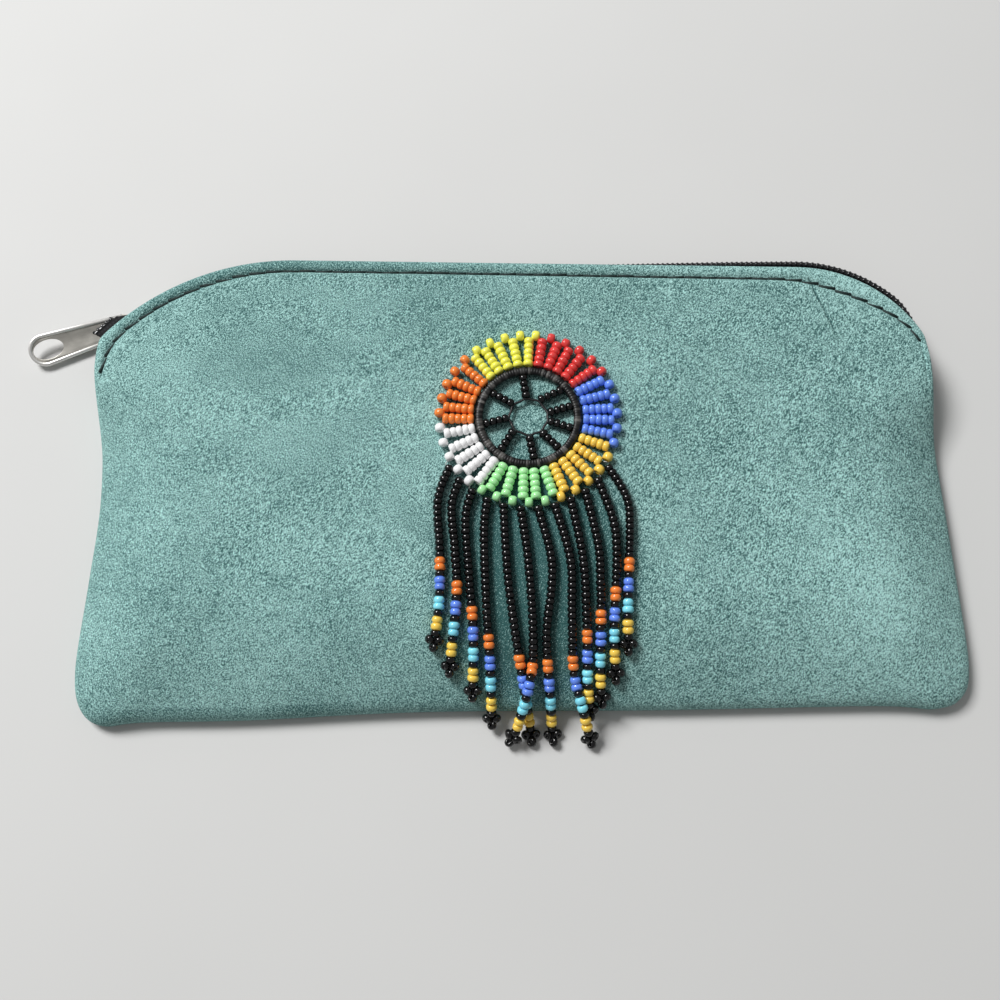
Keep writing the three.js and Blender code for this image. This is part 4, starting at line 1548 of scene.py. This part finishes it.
@dataclass
class SliderAndTab:
    """The metal slider and its pull tab, which has a raised rim and an oval hole."""

    slider_bevel: float = 0.1 * MM
    length: float = 31.3 * MM
    end_radius: float = 3.9 * MM
    neck_half: float = 1.9 * MM
    neck_length: float = 4.2 * MM
    shoulder: float = 7.6 * MM
    taper: float = 1.25 * MM
    back_of_eye: float = 0.5 * MM
    eye: tuple[float, float] = (0.5 * MM, 3.4 * MM)
    eye_wall: float = 0.65 * MM
    hole_wall: float = 1.6 * MM
    hole_shift: float = 0.7 * MM
    hole_stretch: float = 1.4 * MM
    plate_thickness: float = 0.8 * MM
    rim_width: float = 0.9 * MM
    rim_height: float = 1.4 * MM
    plate_bevel: float = 0.12 * MM
    rim_bevel: float = 0.3 * MM
    direction: float = math.radians(200.5)
    waist: Plan = (5.9 * MM, 2.0 * MM)
    under_rim: float = 0.1 * MM
    flat_angle: float = math.radians(2)
    sharp_angle: float = math.radians(35)
    arc_steps: int = 28

    def slider(self) -> None:
        """Makes the slider from its solid, with its edges rounded."""
        bm = bmesh.new()
        bm.from_mesh(frame["nodes"]["slider_body"].data)
        bmesh.ops.remove_doubles(bm, verts=bm.verts, dist=WELD)
        bmesh.ops.dissolve_limit(bm, angle_limit=self.flat_angle, verts=bm.verts, edges=bm.edges)
        sharp = [e for e in bm.edges if e.is_manifold and e.calc_face_angle() > self.sharp_angle]
        bmesh.ops.bevel(
            bm, geom=sharp, offset=self.slider_bevel, affect="EDGES", segments=2, profile=0.5,
            material=-1, clamp_overlap=True,
        )
        Piece("slider", "zip_metal", [RIM_METAL], "slider", ("slider_body",)).from_bmesh(bm)

    def arc(self, middle: float, radius: float, start: float, end: float) -> list[Plan]:
        """Gives points of an arc about a point of the tab's middle line, in the tab's plane."""
        turns = [mix(start, end, i / self.arc_steps) for i in range(self.arc_steps + 1)]
        return [(middle + radius * math.cos(turn), radius * math.sin(turn)) for turn in turns]

    def plate_outline(self) -> list[list[Plan]]:
        """Gives the plate's outline, its eye and its oval hole.

        Returns:
            The outline, the eye and the oval hole.
        """
        blade = self.length - self.end_radius
        half = self.end_radius - self.taper
        upper = [(self.shoulder, half), self.waist, (self.neck_length, self.neck_half)]
        upper.append((-self.back_of_eye, self.neck_half))
        lower = [(x, -y) for x, y in reversed(upper)]
        round_end = self.arc(blade, self.end_radius - self.under_rim, -math.pi / 2, math.pi / 2)
        near, far = self.eye
        side = self.neck_half - self.eye_wall
        eye = [(near, -side), (near, side), (far, side), (far, -side)]
        wide = self.end_radius - self.hole_wall
        long = wide + self.hole_stretch
        hole = [
            (blade - self.hole_shift + long * math.cos(turn), wide * math.sin(turn))
            for turn in (TURN * i / (2 * self.arc_steps) for i in range(2 * self.arc_steps))
        ]
        return [lower + round_end + upper, eye, hole]

    def rim_outline(self) -> list[list[Plan]]:
        """Gives the outline of the rim along both long edges and round the end.

        Returns:
            The outline, with no hole.
        """
        blade = self.length - self.end_radius
        inner = self.end_radius - self.rim_width
        outside = self.arc(blade, self.end_radius, -math.pi / 2, math.pi / 2)
        inside = self.arc(blade, inner, math.pi / 2, -math.pi / 2)
        foot = self.end_radius - self.taper
        near = inner - self.taper
        feet = [(self.shoulder, foot), (self.shoulder, near)]
        return [[(self.shoulder, -foot), *outside, *feet, *inside, (self.shoulder, -near)]]

    def stamped(self, outlines: list[list[Plan]], thickness: float, bevel: float) -> bpy.types.Curve:
        """Makes a flat piece with rounded edges.

        Args:
            outlines: Its outline and its holes.
            thickness: Its whole thickness.
            bevel: The radius of its edges.

        Returns:
            The curve that holds it.
        """
        curve = bpy.data.curves.new("stamped", "CURVE")
        curve.dimensions = "2D"
        curve.fill_mode = "BOTH"
        curve.extrude = thickness / 2 - bevel
        curve.bevel_depth = bevel
        curve.bevel_resolution = 2
        curve.offset = -bevel
        for outline in outlines:
            spline = curve.splines.new("POLY")
            spline.points.add(len(outline) - 1)
            spline.use_cyclic_u = True
            for knot, (x, y) in zip(spline.points, outline):
                knot.co = (x, y, 0, 1)
        return curve

    def tab_place(self) -> Matrix:
        """Works out where the tab lies from the joint that it swings on.

        Returns:
            The tab's place.
        """
        joint = next(j for j in frame["joints"] if j["child"] == "pull_tab")
        across = -Vector(joint["axis"]).normalized()
        line = Vector((math.cos(self.direction), math.sin(self.direction), 0))
        line.z = -across.dot(line) / across.z
        line.normalize()
        turn = Matrix((line, across, line.cross(across))).transposed().to_4x4()
        return Matrix.Translation(joint["pos_m"]) @ turn

    def tab(self) -> None:
        """Makes the pull tab."""
        bm = bmesh.new()
        add_curve(bm, self.stamped(self.plate_outline(), self.plate_thickness, self.plate_bevel))
        plate_faces = len(bm.faces)
        add_curve(bm, self.stamped(self.rim_outline(), self.rim_height, self.rim_bevel))
        bm.faces.ensure_lookup_table()
        for face in bm.faces[plate_faces:]:
            face.material_index = 1
        bmesh.ops.remove_doubles(bm, verts=bm.verts, dist=WELD)
        bmesh.ops.transform(bm, matrix=self.tab_place(), verts=bm.verts)
        Piece("tab", "zip_metal", [PLATE_METAL, RIM_METAL], "pull_tab", ("pull_tab",)).from_bmesh(bm)

    def build(self) -> None:
        """Makes the slider and the tab."""
        self.slider()
        self.tab()


@dataclass(frozen=True)
class BeadShape:
    """A rounded barrel of glass with a hole through it."""

    radius: float
    length: float
    hole: float = 0.36 * MM
    sides: int = 10

    # Shares of half the length or of the radius.
    BORE = 0.88
    SHOULDER = 0.72
    BELLY = (0.98, 0.48)

    def template(self) -> bpy.types.Mesh:
        """Spins the bead's section about its hole, which runs along Z.

        Returns:
            The bead's mesh, at the origin.
        """
        half = self.length / 2
        upper = [
            (self.hole, half * self.BORE), (self.radius * self.SHOULDER, half),
            (self.radius * self.BELLY[0], half * self.BELLY[1]),
        ]
        section = upper + [(x, -z) for x, z in reversed(upper)]
        bm = bmesh.new()
        knots = [bm.verts.new((x, 0, z)) for x, z in section]
        edges = [bm.edges.new(pair) for pair in zip(knots, knots[1:] + knots[:1])]
        bmesh.ops.spin(
            bm, geom=knots + edges, cent=(0, 0, 0), axis=(0, 0, 1), dvec=(0, 0, 0), angle=TURN,
            steps=self.sides, use_merge=True,
        )
        bmesh.ops.remove_doubles(bm, verts=bm.verts, dist=FINE_WELD)
        bmesh.ops.recalc_face_normals(bm, faces=bm.faces)
        bm.verts.layers.float.new(TONE)
        mesh = bpy.data.meshes.new("bead")
        bm.to_mesh(mesh)
        bm.free()
        return mesh


class BeadRun:
    """Beads of one colour in one mesh."""

    LEAN = 0.07
    GROWTH = (0.95, 1.05)
    STRETCH = (0.94, 1.05)
    TONES = (0.2, 0.8)

    def __init__(self, shape: BeadShape, chance: random.Random) -> None:
        """Starts with no beads.

        Args:
            shape: The shape of each bead.
            chance: What makes them uneven.
        """
        self.template = shape.template()
        self.chance = chance
        self.bm = bmesh.new()
        self.tone = self.bm.verts.layers.float.new(TONE)

    def add(self, at: Vector, axis: Vector, size: Vector = Vector((1, 1, 1))) -> None:
        """Threads one bead, a little uneven in size, lean and tone.

        Args:
            at: Its middle.
            axis: The way its hole runs.
            size: How much larger than the template it is, across twice and along.
        """
        jitter = self.chance.uniform
        lean = Vector((jitter(-1, 1), jitter(-1, 1), jitter(-1, 1))) * self.LEAN
        turn = (axis.normalized() + lean).to_track_quat("Z", "Y").to_matrix().to_4x4()
        spin = Matrix.Rotation(jitter(0, TURN), 4, "Z")
        grown = jitter(*self.GROWTH)
        scale = Matrix.Diagonal((size.x * grown, size.y * grown, size.z * jitter(*self.STRETCH), 1))
        before = len(self.bm.verts)
        self.bm.from_mesh(self.template)
        self.bm.verts.ensure_lookup_table()
        fresh = self.bm.verts[before:]
        bmesh.ops.transform(self.bm, matrix=Matrix.Translation(at) @ turn @ spin @ scale, verts=fresh)
        tone = jitter(*self.TONES)
        for vert in fresh:
            vert[self.tone] = tone

    def finished(self, piece: Piece) -> bpy.types.Object:
        """Makes the object and drops the template."""
        bpy.data.meshes.remove(self.template)
        return piece.from_bmesh(self.bm)


@dataclass
class Rosette:
    """The wound ring with a thread loop and black spokes inside and seven colours of spokes outside."""

    centre: Plan = (0.0014, 0.0119)
    ring_radius: float = 11.2 * MM
    ring_thickness: float = 1.9 * MM
    ring_flat: float = 0.25
    wraps: int = 112
    wrap_steps: int = 5
    wrap_groove: float = 0.08
    loop_radius: float = 4.3 * MM
    loop_thickness: float = 0.6 * MM
    gap: float = 0.3 * MM
    pitch: float = 1.4 * MM
    spoke_beads: int = 5
    spokes_per_colour: int = 5
    first_spoke: float = math.radians(131)
    spoke_play: float = math.radians(1.4)
    picot_out: float = 0.72 * MM
    inner_beads: int = 4
    inner_from: tuple[float, ...] = (95, 60, 12, -12, -51, -88, -136, -177, 139)
    inner_to: tuple[float, ...] = (97, 40, 15, -16, -48, -83, -128, -170, 145)
    seed: int = 7

    COLOURS = (
        BeadColour.YELLOW, BeadColour.RED, BeadColour.BLUE, BeadColour.GOLD, BeadColour.GREEN,
        BeadColour.WHITE, BeadColour.ORANGE,
    )
    BEAD = BeadShape(1.20 * MM, 1.46 * MM)
    INNER_BEAD = BeadShape(1.08 * MM, 1.32 * MM)
    PICOT = Vector((1, 1, 1.2))
    RING_SIDES = 12
    # Shares of the ring's thickness over its middle.
    RING_FLAT = (0.4, 0.5)
    LOOP_STEPS = 72
    LOOP_SIDES = 8
    LOOP_PULL = 0.16 * MM
    LOOP_PULL_SPAN = math.radians(24)

    def __post_init__(self) -> None:
        """Takes the height of the beadwork from the solid of the ring."""
        low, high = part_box("wrapped_ring")
        self.height = (low.z + high.z) / 2
        self.chance = random.Random(self.seed)

    @property
    def spoke_step(self) -> float:
        """The angle between neighbouring spokes."""
        return TURN / (len(self.COLOURS) * self.spokes_per_colour)

    @property
    def spoke_start(self) -> float:
        """The distance from the middle at which the coloured spokes start."""
        return self.ring_radius + self.ring_thickness / 2 + self.gap

    @property
    def spoke_end(self) -> float:
        """The distance from the middle at which the coloured spokes end."""
        return self.spoke_start + self.spoke_beads * self.pitch

    def spoke_angle(self, index: float) -> float:
        """The direction of a spoke."""
        return self.first_spoke - index * self.spoke_step

    def point(self, radius: float, angle: float) -> Vector:
        """Gives a point of the beadwork at a distance and angle from its middle."""
        x, y = self.centre
        return Vector((x + radius * math.cos(angle), y + radius * math.sin(angle), self.height))

    def bearing(self, at: Vector) -> float:
        """Gives the direction of a point from the middle."""
        middle = self.point(0, 0)
        return math.atan2(at.y - middle.y, at.x - middle.x)

    def sideways(self, angle: float) -> Vector:
        """Gives the direction across a spoke."""
        return Vector((-math.sin(angle), math.cos(angle), 0))

    def hoop(self, radius: float, thickness: float, steps: int, sides: int) -> bmesh.types.BMesh:
        """Spins a round section into a hoop about the middle.

        Args:
            radius: The hoop's radius at the middle of its section.
            thickness: The section's diameter.
            steps: How many faces it has round the hoop.
            sides: How many faces it has round the section.

        Returns:
            The hoop.
        """
        bm = bmesh.new()
        upright = Matrix.Translation(self.point(radius, 0)) @ Matrix.Rotation(math.pi / 2, 4, "X")
        made = bmesh.ops.create_circle(bm, segments=sides, radius=thickness / 2, matrix=upright)
        section = made["verts"] + bm.edges[:]
        bmesh.ops.spin(
            bm, geom=section, cent=self.point(0, 0), axis=UP, dvec=(0, 0, 0), angle=TURN, steps=steps,
            use_merge=True,
        )
        bmesh.ops.remove_doubles(bm, verts=bm.verts, dist=FINE_WELD)
        bmesh.ops.recalc_face_normals(bm, faces=bm.faces)
        return bm

    def ring(self) -> None:
        """Makes the ring, with a groove between neighbouring turns of its thread."""
        bm = self.hoop(self.ring_radius, self.ring_thickness, self.wraps * self.wrap_steps, self.RING_SIDES)
        layer = bm.verts.layers.float.new(TONE)
        # Each turn's tone sets how strong a painted glint the ring's material gives it.
        tones = [self.chance.random() for _ in range(self.wraps)]
        top = [share * self.ring_thickness for share in self.RING_FLAT]
        for vert in bm.verts:
            angle = self.bearing(vert.co)
            core = self.point(self.ring_radius, angle)
            wave = abs(math.sin(self.wraps * angle / 2))
            flat = 1 - self.ring_flat * ease(vert.co.z - self.height, *top)
            vert.co = core + (vert.co - core) * (1 - self.wrap_groove * (1 - wave) ** 2) * flat
            vert[layer] = tones[int(angle / TURN * self.wraps + self.wraps) % self.wraps]
        Piece("ring", "black_cord", [RING_WRAP], stands_for=("wrapped_ring",)).from_bmesh(bm)

    def loop(self) -> None:
        """Makes the thread loop, pulled outwards where the spokes leave it."""
        bm = self.hoop(self.loop_radius, self.loop_thickness, self.LOOP_STEPS, self.LOOP_SIDES)
        middle = self.point(0, 0)
        for vert in bm.verts:
            angle = self.bearing(vert.co)
            nearest = min(abs((angle - math.radians(a) + math.pi) % TURN - math.pi) for a in self.inner_from)
            pull = self.LOOP_PULL * (1 - 2 * ease(nearest, 0, self.LOOP_PULL_SPAN))
            vert.co += (vert.co - middle).normalized() * pull
        Piece("loop", "black_cord", [WOUND_THREAD], stands_for=("inner_loop",)).from_bmesh(bm)

    def inner_spoke(self, number: int) -> None:
        """Makes one black spoke between the loop and the ring.

        Args:
            number: The spoke's number, from 0.
        """
        start = self.loop_radius + self.loop_thickness / 2
        end = self.ring_radius - self.ring_thickness / 2
        first = self.point(start, math.radians(self.inner_from[number]))
        last = self.point(end, math.radians(self.inner_to[number]))
        run = BeadRun(self.INNER_BEAD, self.chance)
        for i in range(self.inner_beads):
            run.add(first.lerp(last, (i + 0.5) / self.inner_beads), last - first)
        name = f"inner_beads_{number + 1}"
        finish = BeadGlass(BeadColour.BLACK)
        stands_for = (f"inner_spoke_{number + 1}",)
        run.finished(Piece(name, BeadColour.BLACK.slot, [finish], stands_for=stands_for))

    def sector(self, number: int) -> None:
        """Makes the five spokes of one colour, with a bead between the outer ends of neighbours.

        Args:
            number: The colour's number, from 0.
        """
        colour = self.COLOURS[number]
        run = BeadRun(self.BEAD, self.chance)
        for i in range(self.spokes_per_colour):
            index = number * self.spokes_per_colour + i
            angle = self.spoke_angle(index)
            lean = self.chance.uniform(-self.spoke_play, self.spoke_play)
            first, last = self.point(self.spoke_start, angle), self.point(self.spoke_end, angle + lean)
            for bead in range(self.spoke_beads):
                run.add(first.lerp(last, (bead + 0.5) / self.spoke_beads), last - first)
            between = self.spoke_angle(index + 0.5)
            at = self.point(self.spoke_end + self.picot_out, between)
            run.add(at, self.sideways(between), self.PICOT)
        word = colour.name.lower()
        piece = Piece(f"beads_{word}", colour.slot, [BeadGlass(colour)], stands_for=(f"rosette_{word}",))
        run.finished(piece)

    def build(self) -> None:
        """Makes the ring, the loop and all the spokes."""
        self.ring()
        self.loop()
        for number in range(len(self.inner_from)):
            self.inner_spoke(number)
        for number in range(len(self.COLOURS)):
            self.sector(number)


@dataclass
class Fringe:
    """Twelve strands of beads that hang from the rosette over the lower edge of the purse."""

    rosette: Rosette
    surface: BVHTree
    start: float = 21.1 * MM
    last_spoke: int = 27
    lift: float = 1.2 * MM
    over: float = 2.4 * MM
    steepest: float = 0.8
    spacing: float = 0.3 * MM
    black_pitch: float = 1.33 * MM
    colour_pitch: float = 1.55 * MM
    tip_black_pitch: float = 1.38 * MM
    thread: float = 0.5 * MM
    knots: int = 36
    seed: int = 21

    BLACK_BEAD = BeadShape(1.10 * MM, 1.30 * MM)
    COLOUR_BEAD = BeadShape(1.22 * MM, 1.48 * MM)
    TIP = (BeadColour.ORANGE, BeadColour.BLUE, BeadColour.TURQUOISE, BeadColour.GOLD)
    # Metres: the points that each strand passes, from left to right.
    ROUTES = (
        ((-0.0188, -0.0078), (-0.0182, -0.0192), (-0.0182, -0.0308), (-0.0194, -0.0404)),
        ((-0.0157, -0.0090), (-0.0149, -0.0190), (-0.0144, -0.0290), (-0.0160, -0.0457)),
        ((-0.0126, -0.0119), (-0.0118, -0.0240), (-0.0108, -0.0375), (-0.0110, -0.0506)),
        ((-0.0085, -0.0147), (-0.0080, -0.0300), (-0.0072, -0.0430), (-0.0068, -0.0560)),
        ((-0.0038, -0.0180), (-0.0030, -0.0280), (-0.0012, -0.0405), (0.0013, -0.0547), (0.0019, -0.0596)),
        ((0.0010, -0.0200), (0.0020, -0.0343), (0.0018, -0.0450), (-0.0011, -0.0560), (-0.0031, -0.0596)),
        ((0.0061, -0.0203), (0.0061, -0.0280), (0.0050, -0.0380), (0.0060, -0.0524), (0.0067, -0.0596)),
        ((0.0103, -0.0210), (0.0105, -0.0330), (0.0109, -0.0450), (0.0134, -0.0549), (0.0150, -0.0600)),
        ((0.0131, -0.0208), (0.0137, -0.0350), (0.0139, -0.0470), (0.0147, -0.0543)),
        ((0.0165, -0.0180), (0.0168, -0.0280), (0.0166, -0.0450), (0.0172, -0.0518)),
        ((0.0199, -0.0122), (0.0205, -0.0200), (0.0196, -0.0360), (0.0200, -0.0471)),
        ((0.0230, -0.0070), (0.0236, -0.0140), (0.0226, -0.0310), (0.0226, -0.0412)),
    )
    # How much longer the coloured end of each strand is than usual.
    TIP_STRETCH = (0.94, 0.98, 0.98, 1.06, 1.03, 0.98, 0.93, 1.08, 0.96, 1.04, 1.0, 1.0)
    # The sixth strand crosses over the fifth, and the eighth over the ninth.
    LAYING_ORDER = (1, 2, 3, 4, 5, 6, 7, 9, 8, 10, 11, 12)
    # The three beads at a strand's end: shares of their length, millimetres, and how they lean.
    PICOT_SIDES = 0.3
    PICOT_OUT = 1.05
    PICOT_SPREAD = 0.6
    PICOT_RISE = 0.9
    PICOT_END = 0.9
    PICOT_LEAN = (0.6, 1.4)

    def __post_init__(self) -> None:
        """Starts with no strand laid."""
        self.laid: list[list[Vector]] = []
        self.chance = random.Random(self.seed)

    def support(self, at: Vector) -> float:
        """Gives the height of what lies under a point, the table or the purse."""
        hit = self.surface.ray_cast(Vector((at.x, at.y, 0.1)), -UP)[0]
        return hit.z if hit else 0.0

    def lay(self, number: int) -> list[Vector]:
        """Lays the line of one strand on what is under it.

        Args:
            number: The strand's number, from 1 at the left.

        Returns:
            The points of its middle line.
        """
        spoke = self.rosette.spoke_angle(self.last_spoke - (number - 1))
        start = self.rosette.point(self.start, spoke)
        route = [Vector((start.x, start.y, 0)), *(Vector((x, y, 0)) for x, y in self.ROUTES[number - 1])]
        line = smooth_line(route, self.spacing)
        for point in line:
            height = self.support(point) + self.lift
            for other in (p for strand in self.laid for p in strand):
                apart = (point.xy - other.xy).length
                if apart < self.over:
                    height = max(height, other.z + math.sqrt(self.over ** 2 - apart ** 2))
            point.z = height
        for order in (line, line[::-1]):
            for before, point in zip(order, order[1:]):
                point.z = max(point.z, before.z - self.steepest * (point.xy - before.xy).length)
        self.laid.append(line)
        return line

    def tip_beads(self, stretch: float) -> list[tuple[BeadColour, float]]:
        """Gives the coloured end of a strand: pairs of beads, each followed by a black one.

        Args:
            stretch: How much longer than usual the end is.

        Returns:
            The colour and the pitch of each bead.
        """
        beads = []
        for colour in self.TIP:
            beads += [(colour, self.colour_pitch * stretch)] * 2 + [(BeadColour.BLACK, self.tip_black_pitch)]
        return beads

    def threaded(self, number: int, course: Course) -> dict[BeadColour, BeadRun]:
        """Threads the beads of one strand.

        Args:
            number: The strand's number, from 1 at the left.
            course: The strand's middle line.

        Returns:
            The beads by their colour.
        """
        tip = self.tip_beads(self.TIP_STRETCH[number - 1])
        picot = 2 * self.black_pitch
        upper = course.lengths[-1] - picot - sum(pitch for _, pitch in tip)
        count = round(upper / self.black_pitch)
        black = BeadRun(self.BLACK_BEAD, self.chance)
        runs = {BeadColour.BLACK: black}
        runs.update({colour: BeadRun(self.COLOUR_BEAD, self.chance) for colour in self.TIP})
        so_far = 0.0
        for colour, pitch in [(BeadColour.BLACK, upper / count)] * count + tip:
            run = course.at(so_far + pitch) - course.at(so_far)
            runs[colour].add(course.at(so_far + pitch / 2), run)
            so_far += pitch
        ahead = (course.at(course.lengths[-1]) - course.at(so_far)).normalized()
        sideways = ahead.cross(UP).normalized()
        for side in (-1, 1):
            at = course.at(so_far + self.PICOT_SIDES * picot) + sideways * side * self.PICOT_OUT * MM
            black.add(at, ahead + sideways * side * self.PICOT_SPREAD + UP * self.PICOT_RISE)
        lean = UP * self.chance.uniform(*self.PICOT_LEAN)
        black.add(course.at(so_far + self.PICOT_END * picot), sideways + lean)
        return runs

    def strand(self, number: int) -> None:
        """Makes one strand: its beads and its thread.

        Args:
            number: The strand's number, from 1 at the left.
        """
        course = Course(self.lay(number))
        lengths = course.lengths
        for colour, run in self.threaded(number, course).items():
            name = f"strand_{number}_{colour.name.lower()}"
            run.finished(Piece(name, colour.slot, [BeadGlass(colour)]))
        knots = [course.at(lengths[-1] * i / (self.knots - 1)) for i in range(self.knots)]
        curve = curve_data(f"strand_{number}", knots, self.thread / 2)
        curve.materials.append(WOUND_THREAD.material())
        node = f"fringe_strand_{number}"
        piece = Piece(f"strand_{number}", "black_cord", [WOUND_THREAD], stands_for=(node,))
        made = piece.settle(bpy.data.objects.new(f"strand_{number}", curve))

    def build(self) -> None:
        """Lays all the strands in order."""
        for number in self.LAYING_ORDER:
            self.strand(number)


@dataclass
class ThreadEnds:
    """Short ends of clear thread that stick out of the rosette and of the strands."""

    rosette: Rosette
    thickness: float = 0.22 * MM
    start: float = 0.4 * MM
    spacing: float = 0.4 * MM
    bend_out: float = 0.6
    bend_side: float = 0.4
    # Millimetres.
    bend_rise: float = 0.2
    end_drop: float = 0.7

    # The spoke, how far out and sideways from its end the thread goes, in millimetres.
    ENDS = (
        (27.4, 2.4, 0.7), (26.3, 1.9, -0.5), (25.4, 2.1, 0.8), (24.6, 2.0, -0.7), (23.4, 1.8, 0.9),
        (22.4, 1.7, -0.8), (21.5, 1.9, 0.8), (20.4, 1.7, 0.6), (18.6, 2.0, -0.8), (17.6, 2.1, 0.7),
        (16.6, 2.3, -0.9), (15.9, 1.6, 0.5),
    )

    def build(self) -> None:
        """Makes all the ends as one piece."""
        bm = bmesh.new()
        for index, out, side in self.ENDS:
            angle = self.rosette.spoke_angle(index)
            sideways = self.rosette.sideways(angle) * side * MM
            end = self.rosette.spoke_end
            knots = [
                self.rosette.point(end + self.start, angle),
                self.rosette.point(end + self.bend_out * out * MM, angle)
                + sideways * self.bend_side + UP * self.bend_rise * MM,
                self.rosette.point(end + out * MM, angle) + sideways - UP * self.end_drop * MM,
            ]
            add_curve(bm, curve_data("thread_end", smooth_line(knots, self.spacing), self.thickness / 2))
        Piece("thread_ends", "stitch_thread", [CLEAR_THREAD]).from_bmesh(bm)


@dataclass
class Studio:
    """The camera of the photograph, a pale floor and soft light from the upper left."""

    camera_at: tuple[float, float, float] = (-0.00504, -0.07537, 0.2401)
    camera_tilt: float = math.radians(16.6)
    lens: float = 38.45
    sensor: float = 36.0
    clip_start: float = 0.01
    floor_half: float = 3.0
    key_at: tuple[float, float, float] = (-0.70, 0.60, 1.03)
    key_size: float = 0.5
    key_power: float = 21.0
    sky: float = 0.24

    def camera(self) -> None:
        """Makes the camera."""
        data = bpy.data.cameras.new("camera")
        data.lens = self.lens
        data.sensor_width = self.sensor
        data.sensor_fit = "HORIZONTAL"
        data.clip_start = self.clip_start
        made = bpy.data.objects.new("camera", data)
        made.location = self.camera_at
        made.rotation_euler = (self.camera_tilt, 0, 0)
        bpy.context.scene.collection.objects.link(made)
        bpy.context.scene.camera = made

    def floor(self) -> None:
        """Makes the floor."""
        bm = bmesh.new()
        bmesh.ops.create_grid(bm, x_segments=1, y_segments=1, size=self.floor_half)
        mesh = bpy.data.meshes.new("floor")
        bm.to_mesh(mesh)
        bm.free()
        mesh.materials.append(PaleFloor().material())
        made = bpy.data.objects.new("floor", mesh)
        bpy.context.scene.collection.objects.link(made)

    def light(self) -> None:
        """Makes the key light and the even light of the room."""
        lamp = bpy.data.lights.new("key", "AREA")
        lamp.size = self.key_size
        lamp.energy = self.key_power
        made = bpy.data.objects.new("key", lamp)
        made.location = self.key_at
        made.rotation_euler = (-Vector(self.key_at)).to_track_quat("-Z", "Y").to_euler()
        bpy.context.scene.collection.objects.link(made)
        world = bpy.data.worlds.new("room")
        world.use_nodes = True
        world.node_tree.nodes["Background"].inputs["Color"].default_value = (1, 1, 1, 1)
        world.node_tree.nodes["Background"].inputs["Strength"].default_value = self.sky
        bpy.context.scene.world = world
        bpy.context.scene.view_settings.view_transform = "Standard"

    def build(self) -> None:
        """Makes the floor and the lights; the camera is made first of all."""
        self.floor()
        self.light()


def main() -> None:
    """Builds the purse piece by piece."""
    logging.basicConfig(level=logging.INFO, format="%(message)s")
    studio = Studio()
    studio.camera()
    panels = SuedePanels(Outline().points())
    _, surface = panels.build_front()
    rosette = Rosette()
    Fringe(rosette, surface).build()
    rosette.build()
    ThreadEnds(rosette).build()
    panels.build_back()
    Topstitching(panels).build()
    Zip().build()
    SliderAndTab().build()
    studio.build()


if __name__ == "__main__":
    main()
